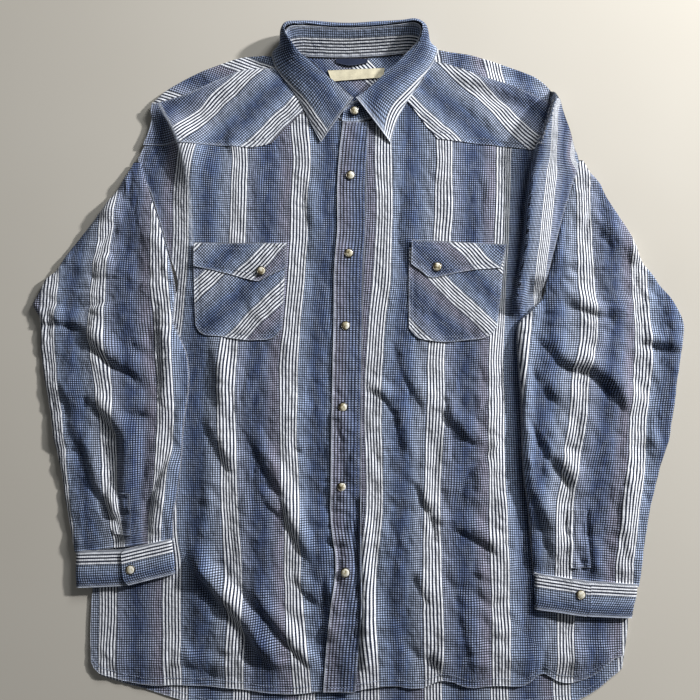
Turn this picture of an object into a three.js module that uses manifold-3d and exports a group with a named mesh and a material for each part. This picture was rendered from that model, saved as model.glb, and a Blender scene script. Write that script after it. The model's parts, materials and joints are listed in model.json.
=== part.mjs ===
// Western snap shirt, laid flat on its back with the sleeves beside the body.
// Millimetres. +X is the wearer's left, +Y runs from the hem to the collar and +Z is up from the surface.
// The origin is the middle of the shirt's footprint, on the surface.
import * as THREE from "three";
import { mergeVertices } from "three/addons/utils/BufferGeometryUtils.js";
import Module from "manifold-3d";

const wasm = await Module();
wasm.setup();

// Cloth, and the clearance between sewn pieces
const CLOTH = 1.2;
const GAP = 0.3;
const PLY = CLOTH + GAP;
const INTERFACED = 1.6;

// Heights above the surface
const FRONT_REST = PLY;
const OVER_FRONT = FRONT_REST + CLOTH + 2 * GAP;
const SLEEVE_ROOM = 3.4;
const CUFF_ROOM = 2.4;

// Grid that every layer of the front shares, so that a layer on top is the one below moved out
const ROW_STEP = 22;
const GRID_TOP = 396;
const GRID_BOTTOM = -398;
const GRID_SIDE = 330;

// Snaps
const SNAP_RIM_RADIUS = 5.8;
const SNAP_CAP_RADIUS = 4.5;
const SNAP_HEIGHT = 1.9;
const SNAP_SIDES = 12;

const BACK_YOKE_SEAM_Y = 238;
const SHOULDER_ROLL = 1.3;
const NECK_EASE = 1.2;
const FALL_STEPS = 6;

// Outlines, as [x, y]. Right and left are the wearer's.
const ARMHOLE_RIGHT = [
  [-253, 311], [-254, 286], [-261, 261], [-268, 245], [-251, 200], [-236, 154],
  [-227, 125], [-217, 83], [-232, 60], [-262, 44],
];
const SIDE_RIGHT = [[-296, 35], [-302, -73], [-307, -190], [-309, -268], [-310, -316], [-308, -344]];
const ARMHOLE_LEFT = [
  [247, 311], [250, 291], [259, 259], [267, 246], [258, 206], [245, 166],
  [237, 138], [227, 101], [221, 74], [236, 54], [262, 42],
];
const SIDE_LEFT = [[288, 35], [296, -73], [306, -190], [312, -282], [312, -310], [309, -340]];
const SHOULDER_SEAM_RIGHT = [[-252, 313], [-211, 325], [-176, 342], [-146, 355], [-104, 360], [-86, 361]];
const SHOULDER_SEAM_LEFT = [[78, 369], [98, 369], [120, 363], [151, 349], [187, 337], [219, 323], [246, 313]];
const SHOULDER_FOLD_RIGHT = [
  [-253, 315], [-238, 328], [-219, 341], [-196, 354], [-172, 364], [-151, 371], [-131, 375], [-105, 375], [-92, 372],
];
const SHOULDER_FOLD_LEFT = [
  [82, 378], [95, 384], [113, 381], [140, 377], [162, 370], [183, 363], [205, 355], [220, 348], [235, 335], [247, 319],
];
const BACK_NECK = [[-84, 375], [-70, 377], [-54, 376.6], [-15, 375.6], [25, 377.4], [62, 380.4], [76, 378]];
const FRONT_HEM_RIGHT = [
  [-305, -357], [-284, -367], [-248, -376], [-203, -376], [-177, -377], [-138, -380], [-108, -384],
  [-79, -386], [-41, -383], [-10, -383],
];
const FRONT_HEM_LEFT = [
  [-8, -384], [38, -378], [73, -380], [94, -372], [109, -373], [120, -378], [161, -377], [193, -376],
  [213, -363], [229, -372], [243, -374], [259, -370], [276, -362], [288, -351], [299, -345],
];
const BACK_TAIL = [
  [-302, -362], [-275, -373], [-248, -380], [-211, -391], [-165, -402], [-102, -409], [-10, -414],
  [82, -409], [163, -404], [215, -398], [254, -393], [278, -380], [290, -370], [305, -358],
];
const NECK_SEAM = [
  [3, 292], [-10, 291], [-24, 296], [-40, 305], [-56, 314], [-68, 323], [-78, 332], [-84, 338], [-89, 348],
  [-92, 358], [-91, 367], [-86, 374], [-70, 377], [-54, 376], [-15, 375], [25, 377], [62, 380], [76, 377],
  [81, 368], [83, 357], [80, 347], [74, 338], [66, 328], [58, 320], [46, 311], [35, 304], [19, 296],
];
const YOKE_EDGE_RIGHT = [[-262, 262], [-221, 261], [-170, 262], [-121, 263], [-105, 270], [-76, 302], [-58, 321]];
const YOKE_EDGE_LEFT = [[44, 329], [62, 310], [79, 287], [97, 267], [129, 264], [172, 260], [191, 258], [259, 252]];

const POCKET_RIGHT = [
  [-198, 131], [-87, 131], [-88, 100], [-91, 30], [-103, 26], [-122, 22], [-160, 26], [-190, 32], [-195, 40],
];
const POCKET_LEFT = [
  [62, 133], [177, 129], [172, 81], [165, 32], [151, 26], [130, 22], [90, 21], [76, 24], [61, 33],
];
const FLAP_RIGHT = [[-197, 139], [-86, 139], [-87, 109], [-121, 93], [-197, 111]];
const FLAP_LEFT = [[65, 143], [179, 137], [170, 109], [136, 106], [109, 101], [88, 97], [64, 114]];
const LABEL = [[-37, 358], [33, 361], [32, 349], [-32, 344]];
const LOOP = [[-27, 373], [-5, 373], [-5, 366], [-27, 366]];

// Edges of the placket, as [y, left x, right x]
const PLACKET = [
  [289, -18, 13], [267, -21, 12], [210, -25, 10], [152, -25, 9], [119, -28, 7], [46, -29, 5], [-58, -31, 4],
  [-151, -32, 3], [-190, -32, 3], [-239, -26, 3], [-283, -31, 4], [-339, -37, 0], [-382, -40, -4],
];
const PLACKET_LAP = 6;

// Lines that the grid's columns follow, as [y, x]: the shoulder crests above, the sleeves' inner edges below
const CREST_RIGHT = [
  [312, -243], [275, -223], [235, -210], [179, -203], [118, -199], [57, -197], [30, -197], [8, -193],
  [-40, -189], [-90, -195], [-150, -199], [-200, -206],
];
const CREST_LEFT = [
  [312, 240], [289, 234], [260, 223], [221, 213], [192, 209], [134, 203], [88, 194], [54, 186], [16, 178],
  [-49, 181], [-143, 183], [-175, 188], [-245, 194],
];
const CREST_HEIGHT_RIGHT = 9;
const CREST_HEIGHT_LEFT = 11;
const CREST_STEEP = 10;

// Ridges in the fronts, as [x1, y1, x2, y2, height, half-width]
const FRONT_RIDGES = [
  [-197, -201, -155, -258, 7, 26],
  [-155, -258, -120, -294, 8, 26],
  [-120, -294, -76, -343, 6, 26],
  [-159, 5, -140, -97, 4, 26],
  [36, -205, 38, -348, 5, 26],
  [160, -235, 180, -359, 6, 28],
  [108, -320, 111, -385, 5, 24],
  [262, -326, 258, -380, 5, 24],
];
// Ridges in the sleeves, in the same columns
const SLEEVE_RIDGES_RIGHT = [
  [-320, 43, -285, 10, 6, 18],
  [-285, 10, -247, -16, 6, 18],
  [-340, 10, -306, -24, 5, 16],
  [-306, -24, -282, -40, 5, 16],
  [-340, -55, -310, -85, 6, 18],
  [-310, -85, -289, -114, 6, 18],
  [-222, 28, -218, -55, 6, 15],
  [-343, -114, -328, -155, 5, 15],
  [-328, -155, -307, -195, 6, 16],
  [-269, -85, -262, -143, 5, 16],
  [-262, -143, -258, -205, 6, 16],
  [-224, -131, -233, -189, 4, 14],
  [-317, 131, -276, 186, 4, 22],
];
const SLEEVE_RIDGES_LEFT = [
  [223, 28, 252, 7, 6, 18],
  [252, 7, 287, -5, 6, 18],
  [287, -5, 319, -38, 5, 18],
  [210, 4, 233, -28, 5, 16],
  [233, -28, 274, -44, 5, 16],
  [215, -61, 237, -108, 6, 18],
  [237, -108, 265, -155, 6, 18],
  [218, -166, 237, -223, 5, 16],
  [334, -12, 372, -16, 5, 16],
  [307, -131, 293, -212, 4, 18],
  [285, 165, 330, 110, 4, 24],
];

// Stations down the sleeves, as [outer x, outer y, inner x, inner y]
const SLEEVE_RIGHT = [
  [-281, 224, -261, 224], [-292, 206, -255, 206], [-309, 182, -246.5, 182], [-328, 156, -238, 156],
  [-350, 128, -229.5, 128], [-363, 107, -224, 107], [-377, 93, -220.5, 90], [-383, 79, -219, 76],
  [-390, 65, -220, 62], [-382, 50, -221, 46], [-380, 33, -215, 30], [-379, 10, -205, 8],
  [-376, -12, -201, -14], [-370, -40, -201, -40], [-365, -64, -204, -62], [-360, -94, -206.5, -90],
  [-350, -132, -208, -124], [-344, -164, -211, -152], [-337, -196, -216, -184], [-330, -223.4, -217.5, -209.4],
];
const SLEEVE_LEFT = [
  [283, 226, 263.4, 226], [295, 212, 260.3, 212], [308, 187, 252.4, 187], [328, 154, 242.6, 154],
  [342, 119, 233, 119], [353, 104, 229, 104], [364, 88, 225, 88], [377, 72, 221, 72], [386, 54, 206, 56],
  [390, 38, 192, 42], [387, 16, 189, 20], [381, -18, 190, -18], [377, -44, 192, -46], [371, -76, 192, -76],
  [367, -98, 192, -100], [358, -122, 192.5, -122], [351, -145, 194, -143], [344, -170, 197, -167],
  [337, -200, 199.5, -195], [331, -230, 201, -222], [326, -261.4, 202, -248.4],
];
const SLEEVE_STEP = 25;

// Cuffs, as [tab-side top x, y, far-side top x, y, tab-side bottom x, y, far-side bottom x, y]
const CUFF_RIGHT = [-217, -210.4, -329, -224.4, -212, -250, -327, -266];
const CUFF_LEFT = [204, -249.4, 325, -262.4, 203, -290, 316, -300];
const CUFF_TAB_RIGHT = 58;
const CUFF_TAB_LEFT = 64;
const CUFF_LAP = 18;

// Collar stand, as [seam x, y, z, top x, y, z]. It starts under the lap at the front and goes round by the back.
const STAND = [
  [8, 293, 3.4, 4, 316, 5], [-8, 292, 3.4, -8, 317, 5.5], [-24, 297, 3.2, -20, 328, 7], [-40, 305, 3, -34, 341, 9],
  [-56, 314, 3, -45, 350, 10.5], [-68, 323, 3, -55, 359, 12], [-78, 332, 3, -64, 366, 14.5],
  [-84, 338, 3, -71, 371, 16], [-89, 348, 3, -78, 378, 19.5], [-92, 358, 3, -83, 386, 22.5],
  [-91, 367, 2.8, -87, 395, 25], [-86, 374, 2.4, -82, 401, 24], [-70, 377, 2.4, -69, 403, 22],
  [-54, 376, 2.4, -54, 403.5, 20], [-15, 375, 2.4, -14, 402, 18], [25, 377, 2.4, 25, 403.5, 19],
  [48, 379, 2.4, 50, 405, 21], [64, 380, 2.4, 67, 406, 24], [76, 377, 2.5, 75, 402, 25],
  [81, 368, 2.8, 76, 395, 24], [83, 357, 3, 71, 384, 21], [80, 347, 3, 64, 377, 18], [74, 338, 3, 55, 369, 15],
  [66, 328, 3, 43, 357, 12.5], [58, 320, 3, 34, 348, 11], [46, 311, 3, 24, 339, 10], [35, 304, 3.2, 14, 330, 9],
  [19, 297, 3.9, 6, 322, 8], [4, 292, 5.6, -2, 317, 7.6], [-10, 290, 5.6, -9, 313, 7.2],
  [-19, 292, 5.6, -17, 306, 6.9],
];
// Collar fall, as [fold x, y, z, edge x, y, z, tuck]. Tuck 1 turns the edge in under the stand, at the back.
const FALL = [
  [-6, 319, 12, -45, 266, 5.7, 0], [-15, 327, 11.5, -51, 277, 5.7, 0], [-24, 335, 12, -57, 289, 5.7, 0],
  [-34, 343, 13, -66, 308, 5.7, 0], [-45, 352, 14, -76, 325, 5.7, 0], [-55, 361, 15, -87, 341, 5.7, 0],
  [-64, 368, 17.5, -97, 354, 5.7, 0], [-72, 373, 20, -104, 368, 5.7, 0], [-79, 381, 24, -104, 382, 5, 0],
  [-85, 389, 27, -100, 395, 3, 0.3], [-89, 398, 28, -94, 405, 2, 0.7], [-84, 404, 27, -87, 411, 1.2, 1],
  [-70, 406, 25, -71, 413, 1.2, 1], [-54, 406.5, 23, -54, 413.6, 1.2, 1], [-14, 405, 21, -14, 412, 1.2, 1],
  [25, 406.5, 22, 25, 413.6, 1.2, 1], [51, 408, 24, 52, 414, 1.2, 1], [68, 409, 27, 70, 414, 1.2, 1],
  [77, 404, 28, 83, 408, 2, 0.8], [78, 395, 27, 90, 398, 3, 0.4], [74, 384, 24, 96, 387, 5, 0],
  [66, 377, 20.5, 96, 374, 5.7, 0], [56, 369, 17.5, 90, 362, 5.7, 0], [44, 358, 15, 80, 348, 5.7, 0],
  [34, 349, 14, 71, 334, 5.7, 0], [24, 340, 13, 62, 319, 5.7, 0], [14, 331, 12, 53, 304, 5.7, 0],
  [5, 324, 11.5, 46, 287, 5.7, 0], [-2, 319, 12, 40, 264, 5.7, 0],
];

// Snaps on the front, as [name, x, y, layers of cloth below]
const SNAPS = [
  ["1", -9, 223, 2], ["2", -11, 127, 2], ["3", -15, 39, 2], ["4", -18, -58, 2], ["5", -19, -151, 2],
  ["6", -15, -248, 2], ["flap_right", -116, 105, 3], ["flap_left", 95, 110, 3],
];

const COLOURS = {
  cloth: 0x6d7b97,
  back: 0x64718c,
  label: 0xd8d0b4,
  loop: 0x2b3450,
  rim: 0x9a978f,
  cap: 0xcfc6ae,
};

const group = new THREE.Group();

// Small helpers

function lerp(a, b, t) {
  return a + (b - a) * t;
}

function clamp01(t) {
  return Math.min(1, Math.max(0, t));
}

function smooth(t) {
  const u = clamp01(t);
  return u * u * (3 - 2 * u);
}

// The value in a column of a table whose first column, y, falls from row to row.
function columnAt(table, y, column = 1) {
  if (y >= table[0][0]) return table[0][column];
  for (let i = 1; i < table.length; i += 1) {
    const [above, below] = [table[i - 1], table[i]];
    if (y >= below[0]) return lerp(below[column], above[column], (y - below[0]) / (above[0] - below[0]));
  }
  return table[table.length - 1][column];
}

function segmentDistance(x, y, [x1, y1, x2, y2]) {
  const [dx, dy] = [x2 - x1, y2 - y1];
  const t = clamp01(((x - x1) * dx + (y - y1) * dy) / (dx * dx + dy * dy));
  return Math.hypot(x - x1 - t * dx, y - y1 - t * dy);
}

// A soft bump that is 1 in the middle and 0 from the half-width on.
function bump(distance, halfWidth) {
  const t = distance / halfWidth;
  return Math.abs(t) < 1 ? (1 - t * t) ** 2 : 0;
}

// The highest ridge at a point, so that ridges that meet end to end don't add up.
function ridgeHeight(ridges, x, y) {
  return Math.max(0, ...ridges.map((r) => r[4] * bump(segmentDistance(x, y, r), r[5])));
}

function addPiece(name, geometry, color, roughness = 0.9, metalness = 0) {
  const mesh = new THREE.Mesh(geometry, new THREE.MeshStandardMaterial({ color, roughness, metalness }));
  mesh.name = name;
  group.add(mesh);
  return mesh;
}

function geometryFrom(positions, indices) {
  const geometry = new THREE.BufferGeometry();
  geometry.setAttribute("position", new THREE.BufferAttribute(new Float32Array(positions), 3));
  geometry.setIndex(indices);
  return geometry;
}

function toSolid(geometry) {
  const bare = geometry.clone();
  bare.deleteAttribute("normal");
  bare.deleteAttribute("uv");
  const merged = mergeVertices(bare, 1e-4);
  return new wasm.Manifold(
    new wasm.Mesh({
      numProp: 3,
      vertProperties: merged.attributes.position.array,
      triVerts: new Uint32Array(merged.index.array),
    }),
  );
}

function toGeometry(solid) {
  const mesh = solid.getMesh();
  const positions = [];
  for (let i = 0; i < mesh.numVert; i += 1) {
    positions.push(...mesh.vertProperties.slice(i * mesh.numProp, i * mesh.numProp + 3));
  }
  return geometryFrom(positions, [...mesh.triVerts]);
}

// A vertical prism over an outline.
function prism(outline, low = -1, high = 60) {
  const shape = new THREE.Shape(outline.map(([x, y]) => new THREE.Vector2(x, y)));
  const geometry = new THREE.ExtrudeGeometry(shape, { depth: high - low, bevelEnabled: false });
  return toSolid(geometry.translate(0, 0, low));
}

// An outline moved out by a distance, for the ease round the neck.
function grown(outline, distance) {
  const centre = outline.reduce(([a, b], [x, y]) => [a + x / outline.length, b + y / outline.length], [0, 0]);
  return outline.map(([x, y]) => {
    const reach = Math.hypot(x - centre[0], y - centre[1]);
    return [x + ((x - centre[0]) * distance) / reach, y + ((y - centre[1]) * distance) / reach];
  });
}

// The surface of the fronts

// Height of the fronts' underside above the surface.
function frontHeight(x, y) {
  return FRONT_REST + Math.max(crestRight(x, y), crestLeft(x, y), sleeveClear(x, y) * ridgeHeight(FRONT_RIDGES, x, y));
}

// Where the sleeves lie on the fronts, the cloth below them is flat.
function sleeveClear(x, y) {
  if (y > 60 || y < -320) return 1;
  const right = smooth((x - columnAt(CREST_RIGHT, y)) / 30);
  const left = smooth((columnAt(CREST_LEFT, y) - x) / 30);
  return right * left;
}

// The crest beside the right armhole rises gently from the chest and drops steeply to the armhole.
function crestRight(x, y) {
  const beside = x - columnAt(CREST_RIGHT, y);
  const fade = smooth((308 - y) / 44) * smooth(y / 40);
  return CREST_HEIGHT_RIGHT * fade * (beside > 0 ? bump(beside, 48) : bump(beside, CREST_STEEP + 4));
}

// The fold beside the left armhole drops steeply to the chest and falls away gently towards the sleeve.
function crestLeft(x, y) {
  const beside = x - columnAt(CREST_LEFT, y);
  const end = 66 + 22 * clamp01((x - 195) / 10);
  const fade = smooth((308 - y) / 44) * smooth((y - end) / 22);
  return CREST_HEIGHT_LEFT * fade * (beside < 0 ? bump(beside, CREST_STEEP - 1) : 0.3 + 0.7 * bump(beside, 60));
}

function between(from, to, count) {
  return Array.from({ length: count }, (_, i) => lerp(from, to, i / count));
}

function gridColumns(y) {
  const right = columnAt(CREST_RIGHT, y);
  const left = columnAt(CREST_LEFT, y);
  const placketRight = columnAt(PLACKET, y, 1) - 2;
  const placketLeft = columnAt(PLACKET, y, 2) + 2;
  return [
    ...between(-GRID_SIDE, right - CREST_STEEP, 5),
    right - CREST_STEEP,
    ...between(right, placketRight, 8),
    ...between(placketRight, placketLeft, 2),
    ...between(placketLeft, left - CREST_STEEP, 8),
    left - CREST_STEEP,
    ...between(left, GRID_SIDE, 5),
    GRID_SIDE,
  ];
}

// One layer of cloth over the whole grid, lifted above the fronts' underside.
function layer(lift) {
  const rows = Math.round((GRID_TOP - GRID_BOTTOM) / ROW_STEP) + 1;
  const points = [];
  for (let r = 0; r < rows; r += 1) {
    const y = GRID_TOP - r * ROW_STEP;
    points.push(gridColumns(y).map((x) => [x, y, frontHeight(x, y) + lift]));
  }
  return toSolid(sheet(points, CLOTH));
}

// A closed sheet: rows of points, and the same points moved up by the thickness.
function sheet(rows, thickness) {
  const flat = rows.flat();
  const positions = [...flat, ...flat.map(([x, y, z]) => [x, y, z + thickness])].flat();
  return closed(positions, rows.length, rows[0].length);
}

// The closed surface of two faces of m rows of n points, and the walls between their edges.
function closed(positions, m, n) {
  const [low, high] = [(r, c) => r * n + c, (r, c) => m * n + r * n + c];
  const indices = [];
  const quad = (a, b, c, d) => indices.push(a, b, c, a, c, d);
  for (let r = 0; r + 1 < m; r += 1) {
    for (let c = 0; c + 1 < n; c += 1) {
      quad(low(r, c), low(r, c + 1), low(r + 1, c + 1), low(r + 1, c));
      quad(high(r, c), high(r + 1, c), high(r + 1, c + 1), high(r, c + 1));
    }
    quad(low(r, 0), low(r + 1, 0), high(r + 1, 0), high(r, 0));
    quad(low(r + 1, n - 1), low(r, n - 1), high(r, n - 1), high(r + 1, n - 1));
  }
  for (let c = 0; c + 1 < n; c += 1) {
    quad(low(0, c + 1), low(0, c), high(0, c), high(0, c + 1));
    quad(low(m - 1, c), low(m - 1, c + 1), high(m - 1, c + 1), high(m - 1, c));
  }
  return geometryFrom(positions, indices);
}

// Body

const layers = [layer(0), layer(PLY), layer(2 * PLY)];
const neckHole = prism(grown(NECK_SEAM, NECK_EASE), FRONT_REST - GAP / 2);

function frontPiece(name, outline, level, holes = []) {
  let solid = layers[level].intersect(prism(outline));
  for (const hole of holes) solid = solid.subtract(hole);
  addPiece(name, toGeometry(solid), COLOURS.cloth);
}

// The line that parts the two fronts below the placket, moved sideways.
function centreLine(shift) {
  return PLACKET.map(([y, , right]) => [right - PLACKET_LAP + shift, y]);
}

// A seam line moved down, for the clearance at a shoulder seam.
function lowered(line, distance) {
  return line.map(([x, y]) => [x, y - distance]);
}

const backOutline = [
  ...SHOULDER_FOLD_RIGHT, ...BACK_NECK, ...SHOULDER_FOLD_LEFT, ...ARMHOLE_LEFT, ...SIDE_LEFT,
  ...[...BACK_TAIL].reverse(), ...[...SIDE_RIGHT].reverse(), ...[...ARMHOLE_RIGHT].reverse(),
];
const backCut = (from, to) => prism([[-GRID_SIDE, from], [GRID_SIDE, from], [GRID_SIDE, to], [-GRID_SIDE, to]]);
const backSheet = prism(backOutline, 0, CLOTH);
addPiece("back", toGeometry(backSheet.intersect(backCut(-430, BACK_YOKE_SEAM_Y))), COLOURS.back);

// The back yoke lies flat, rolls over the shoulders and comes forward to the shoulder seams.
function shoulderRoll(fold, seam) {
  const strip = [...fold, ...[...seam].reverse()];
  const inner = lowered(fold, SHOULDER_ROLL);
  const wall = [...fold, ...[...inner].reverse()];
  return layers[0].intersect(prism(strip)).add(prism(wall, 0, FRONT_REST + CLOTH).intersect(prism(strip)));
}
const backYoke = backSheet
  .intersect(backCut(BACK_YOKE_SEAM_Y + GAP, 430))
  .add(shoulderRoll(SHOULDER_FOLD_RIGHT, SHOULDER_SEAM_RIGHT).subtract(neckHole))
  .add(shoulderRoll(SHOULDER_FOLD_LEFT, [...SHOULDER_SEAM_LEFT]).subtract(neckHole));
addPiece("back_yoke", toGeometry(backYoke), COLOURS.cloth);

const underShoulderRight = lowered(SHOULDER_SEAM_RIGHT, GAP);
const underShoulderLeft = lowered(SHOULDER_SEAM_LEFT, GAP);
frontPiece(
  "front_right",
  [
    ...underShoulderRight, [-20, 340], ...centreLine(-GAP), ...[...FRONT_HEM_RIGHT].reverse(),
    ...[...SIDE_RIGHT].reverse(), ...[...ARMHOLE_RIGHT].reverse(),
  ],
  0,
  [neckHole],
);
frontPiece(
  "front_left",
  [
    ...[...centreLine(0)].reverse(), [10, 340], ...underShoulderLeft, ...ARMHOLE_LEFT, ...SIDE_LEFT,
    ...[...FRONT_HEM_LEFT].reverse(),
  ],
  0,
  [neckHole],
);
frontPiece("yoke_right", [...underShoulderRight, [-58, 350], ...[...YOKE_EDGE_RIGHT].reverse()], 1, [neckHole]);
frontPiece("yoke_left", [[44, 350], ...underShoulderLeft, ...[...YOKE_EDGE_LEFT].reverse()], 1, [neckHole]);
frontPiece(
  "placket",
  [...PLACKET.map(([y, left]) => [left, y]), ...[...PLACKET].reverse().map(([y, , right]) => [right, y])],
  1,
);
frontPiece("pocket_right", POCKET_RIGHT, 1);
frontPiece("pocket_left", POCKET_LEFT, 1);
frontPiece("flap_right", FLAP_RIGHT, 2);
frontPiece("flap_left", FLAP_LEFT, 2);
addPiece("neck_label", toGeometry(prism(LABEL, PLY, PLY + 0.9)), COLOURS.label);
addPiece("hanger_loop", toGeometry(prism(LOOP, PLY, PLY + CLOTH)), COLOURS.loop);

// Sleeves

const asTable = (line) => line.map(([x, y]) => [y, x]);
const BODY_EDGE_RIGHT = asTable([...ARMHOLE_RIGHT, ...SIDE_RIGHT]);
const BODY_EDGE_LEFT = asTable([...ARMHOLE_LEFT, ...SIDE_LEFT]);

// Height of a sleeve's underside: on the surface outside the body, and over the fronts inside it.
function sleeveFloor(x, y) {
  const edge = x < 0 ? BODY_EDGE_RIGHT : BODY_EDGE_LEFT;
  const reach = [-SLEEVE_STEP, 0, SLEEVE_STEP].map((dy) => Math.abs(columnAt(edge, y + dy)));
  return OVER_FRONT * clamp01((Math.max(...reach) - Math.abs(x) + 34) / 18);
}

// Distances across a flattened tube, close together at its two rounded edges.
function acrossTube(width) {
  const [near, next] = [Math.min(2.6, width * 0.14), Math.min(8, width * 0.3)];
  return [0, near, ...between(next, width - next, 5), width - next, width - near, width];
}

// Stations of a table with more put between the far ones.
function denser(rows, step) {
  const out = [];
  rows.forEach((row, i) => {
    if (i === 0) {
      out.push(row);
      return;
    }
    const before = rows[i - 1];
    const parts = Math.ceil(Math.hypot(row[0] - before[0], row[1] - before[1]) / step);
    for (let k = 1; k <= parts; k += 1) out.push(row.map((v, c) => lerp(before[c], v, k / parts)));
  });
  return out;
}

// The two loops, outer and inner, of a sleeve's section.
function sleeveSection([outerX, outerY, innerX, innerY], ridges) {
  const width = Math.hypot(innerX - outerX, innerY - outerY);
  const across = acrossTube(width);
  const last = across.length - 1;
  const loop = (wall) => {
    const bottom = [];
    const top = [];
    across.forEach((d, i) => {
      const inset = i === 0 ? wall : i === last ? width - wall : d;
      const t = inset / width;
      const [x, y] = [lerp(outerX, innerX, t), lerp(outerY, innerY, t)];
      const floor = sleeveFloor(x, y);
      const roof = floor + 2 * CLOTH + SLEEVE_ROOM + ridgeHeight(ridges, x, y);
      const middle = floor + CLOTH + SLEEVE_ROOM / 2;
      const edge = clamp01(Math.min(d, width - d) / 8);
      const round = Math.sqrt(1 - (1 - edge) ** 2);
      if (i > 0 && i < last) {
        bottom.push([x, y, lerp(middle, floor, round) + wall]);
        top.unshift([x, y, lerp(middle, roof, round) - wall]);
      } else if (i === 0) {
        bottom.push([x, y, middle]);
      } else {
        bottom.push([x, y, middle]);
      }
    });
    return [...bottom, ...top];
  };
  return { outer: loop(0), inner: loop(CLOTH) };
}

// A tube open at both ends, from the outer and inner loops of its sections.
function tube(sections) {
  const n = sections[0].outer.length;
  const positions = sections.flatMap((s) => [...s.outer, ...s.inner]).flat();
  const outer = (s, i) => s * 2 * n + (i % n);
  const inner = (s, i) => s * 2 * n + n + (i % n);
  const indices = [];
  const quad = (a, b, c, d) => indices.push(a, b, c, a, c, d);
  for (let i = 0; i < n; i += 1) {
    for (let s = 0; s + 1 < sections.length; s += 1) {
      quad(outer(s, i), outer(s, i + 1), outer(s + 1, i + 1), outer(s + 1, i));
      quad(inner(s, i), inner(s + 1, i), inner(s + 1, i + 1), inner(s, i + 1));
    }
    const end = sections.length - 1;
    quad(outer(0, i), inner(0, i), inner(0, i + 1), outer(0, i + 1));
    quad(outer(end, i), outer(end, i + 1), inner(end, i + 1), inner(end, i));
  }
  return geometryFrom(positions, indices);
}

// Turns a geometry's faces round where they point in.
function facingOut(geometry) {
  if (toSolid(geometry).volume() > 0) return geometry;
  const index = [...geometry.index.array];
  for (let i = 0; i < index.length; i += 3) [index[i + 1], index[i + 2]] = [index[i + 2], index[i + 1]];
  return geometryFrom([...geometry.attributes.position.array], index);
}

// The strip at the slit is the sleeve's own top points, moved out.
function slitStrip(sections, fromSection, fromPoint, points) {
  const rows = sections.slice(fromSection, -1).map(({ outer }) => {
    const start = outer.length - fromPoint;
    return outer.slice(start - points, start).map(([x, y, z]) => [x, y, z + GAP]);
  });
  return sheet(rows, CLOTH);
}

function sleeve(side, stations, ridges, stripPoint) {
  const sections = denser(stations, SLEEVE_STEP).map((row) => sleeveSection(row, ridges));
  addPiece(`sleeve_${side}`, facingOut(tube(sections)), COLOURS.cloth);
  const strip = slitStrip(sections, sections.length - 5, stripPoint, 2);
  addPiece(`sleeve_placket_${side}`, facingOut(strip), COLOURS.cloth);
}
sleeve("right", SLEEVE_RIGHT, SLEEVE_RIDGES_RIGHT, 3);
sleeve("left", SLEEVE_LEFT, SLEEVE_RIDGES_LEFT, 4);

// Ribbons: bands of cloth that follow a line in each of their stations

// The points of a line of [distance along dx, dy, height] at a station.
function placed({ x, y, dx, dy }, line) {
  return line.map(([d, z]) => new THREE.Vector3(x + d * dx, y + d * dy, z));
}

// A band with a wall round rows of middle points, moved out by half its thickness on each face.
function ribbon(rows, thickness) {
  const [m, n] = [rows.length, rows[0].length];
  const step = (r, c, dr, dc) =>
    new THREE.Vector3().subVectors(
      rows[Math.min(m - 1, r + dr)][Math.min(n - 1, c + dc)],
      rows[Math.max(0, r - dr)][Math.max(0, c - dc)],
    );
  const face = (sign) =>
    rows.map((row, r) =>
      row.map((point, c) => {
        const normal = step(r, c, 1, 0).cross(step(r, c, 0, 1)).normalize();
        return point.clone().addScaledVector(normal, (sign * thickness) / 2);
      }),
    );
  const positions = [...face(-1), ...face(1)].flat().flatMap((p) => p.toArray());
  return facingOut(closed(positions, m, n));
}

// Cuffs: one band that goes round the wrist and laps on top, its end held by the snap.
function cuffLine(width, tab, floor) {
  const low = INTERFACED / 2;
  const top = low + INTERFACED + CUFF_ROOM;
  const lapped = top + INTERFACED + GAP;
  const level = (d, z) => [d, z + floor(d)];
  return [
    level(tab, lapped), level(tab - CUFF_LAP, lapped), level(tab - CUFF_LAP - 12, top + 0.6), level(9, top),
    level(3, top - 0.7), level(0.8, (top + low) / 2), level(3, low + 0.7), level(9, low),
    level(width * 0.35, low), level(width * 0.6, low), level(width * 0.8, low), level(width - 9, low),
    level(width - 3, low + 0.7), level(width - 0.8, (top + low) / 2), level(width - 3, top - 0.7),
    level(width - 9, top), level(width * 0.75, top), level(tab - CUFF_LAP + 4, top),
  ];
}

function cuff(side, [tabX, tabY, farX, farY, tabLowX, tabLowY, farLowX, farLowY], tab) {
  const stations = [0, 0.35, 0.7, 1].map((t) => {
    const [x, y] = [lerp(tabX, tabLowX, t), lerp(tabY, tabLowY, t)];
    const [ex, ey] = [lerp(farX, farLowX, t), lerp(farY, farLowY, t)];
    const width = Math.hypot(ex - x, ey - y);
    const [dx, dy] = [(ex - x) / width, (ey - y) / width];
    const floor = (d) => sleeveFloor(x + dx * d, y + dy * d);
    return placed({ x, y, dx, dy }, cuffLine(width, tab, floor));
  });
  addPiece(`cuff_${side}`, ribbon(stations, INTERFACED), COLOURS.cloth);
}
cuff("right", CUFF_RIGHT, CUFF_TAB_RIGHT);
cuff("left", CUFF_LEFT, CUFF_TAB_LEFT);

// Collar

function towards(x, y, toX, toY) {
  const length = Math.hypot(toX - x, toY - y);
  return { x, y, dx: (toX - x) / length, dy: (toY - y) / length, length };
}

const standStations = STAND.map(([x, y, z, topX, topY, topZ]) => {
  const way = towards(x, y, topX, topY);
  const line = [0, 0.35, 0.7, 1].map((t) => [way.length * t, lerp(z, topZ, t) - 0.8 * Math.sin(Math.PI * t)]);
  return placed(way, line);
});
addPiece("collar_stand", ribbon(standStations, INTERFACED), COLOURS.cloth);

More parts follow.
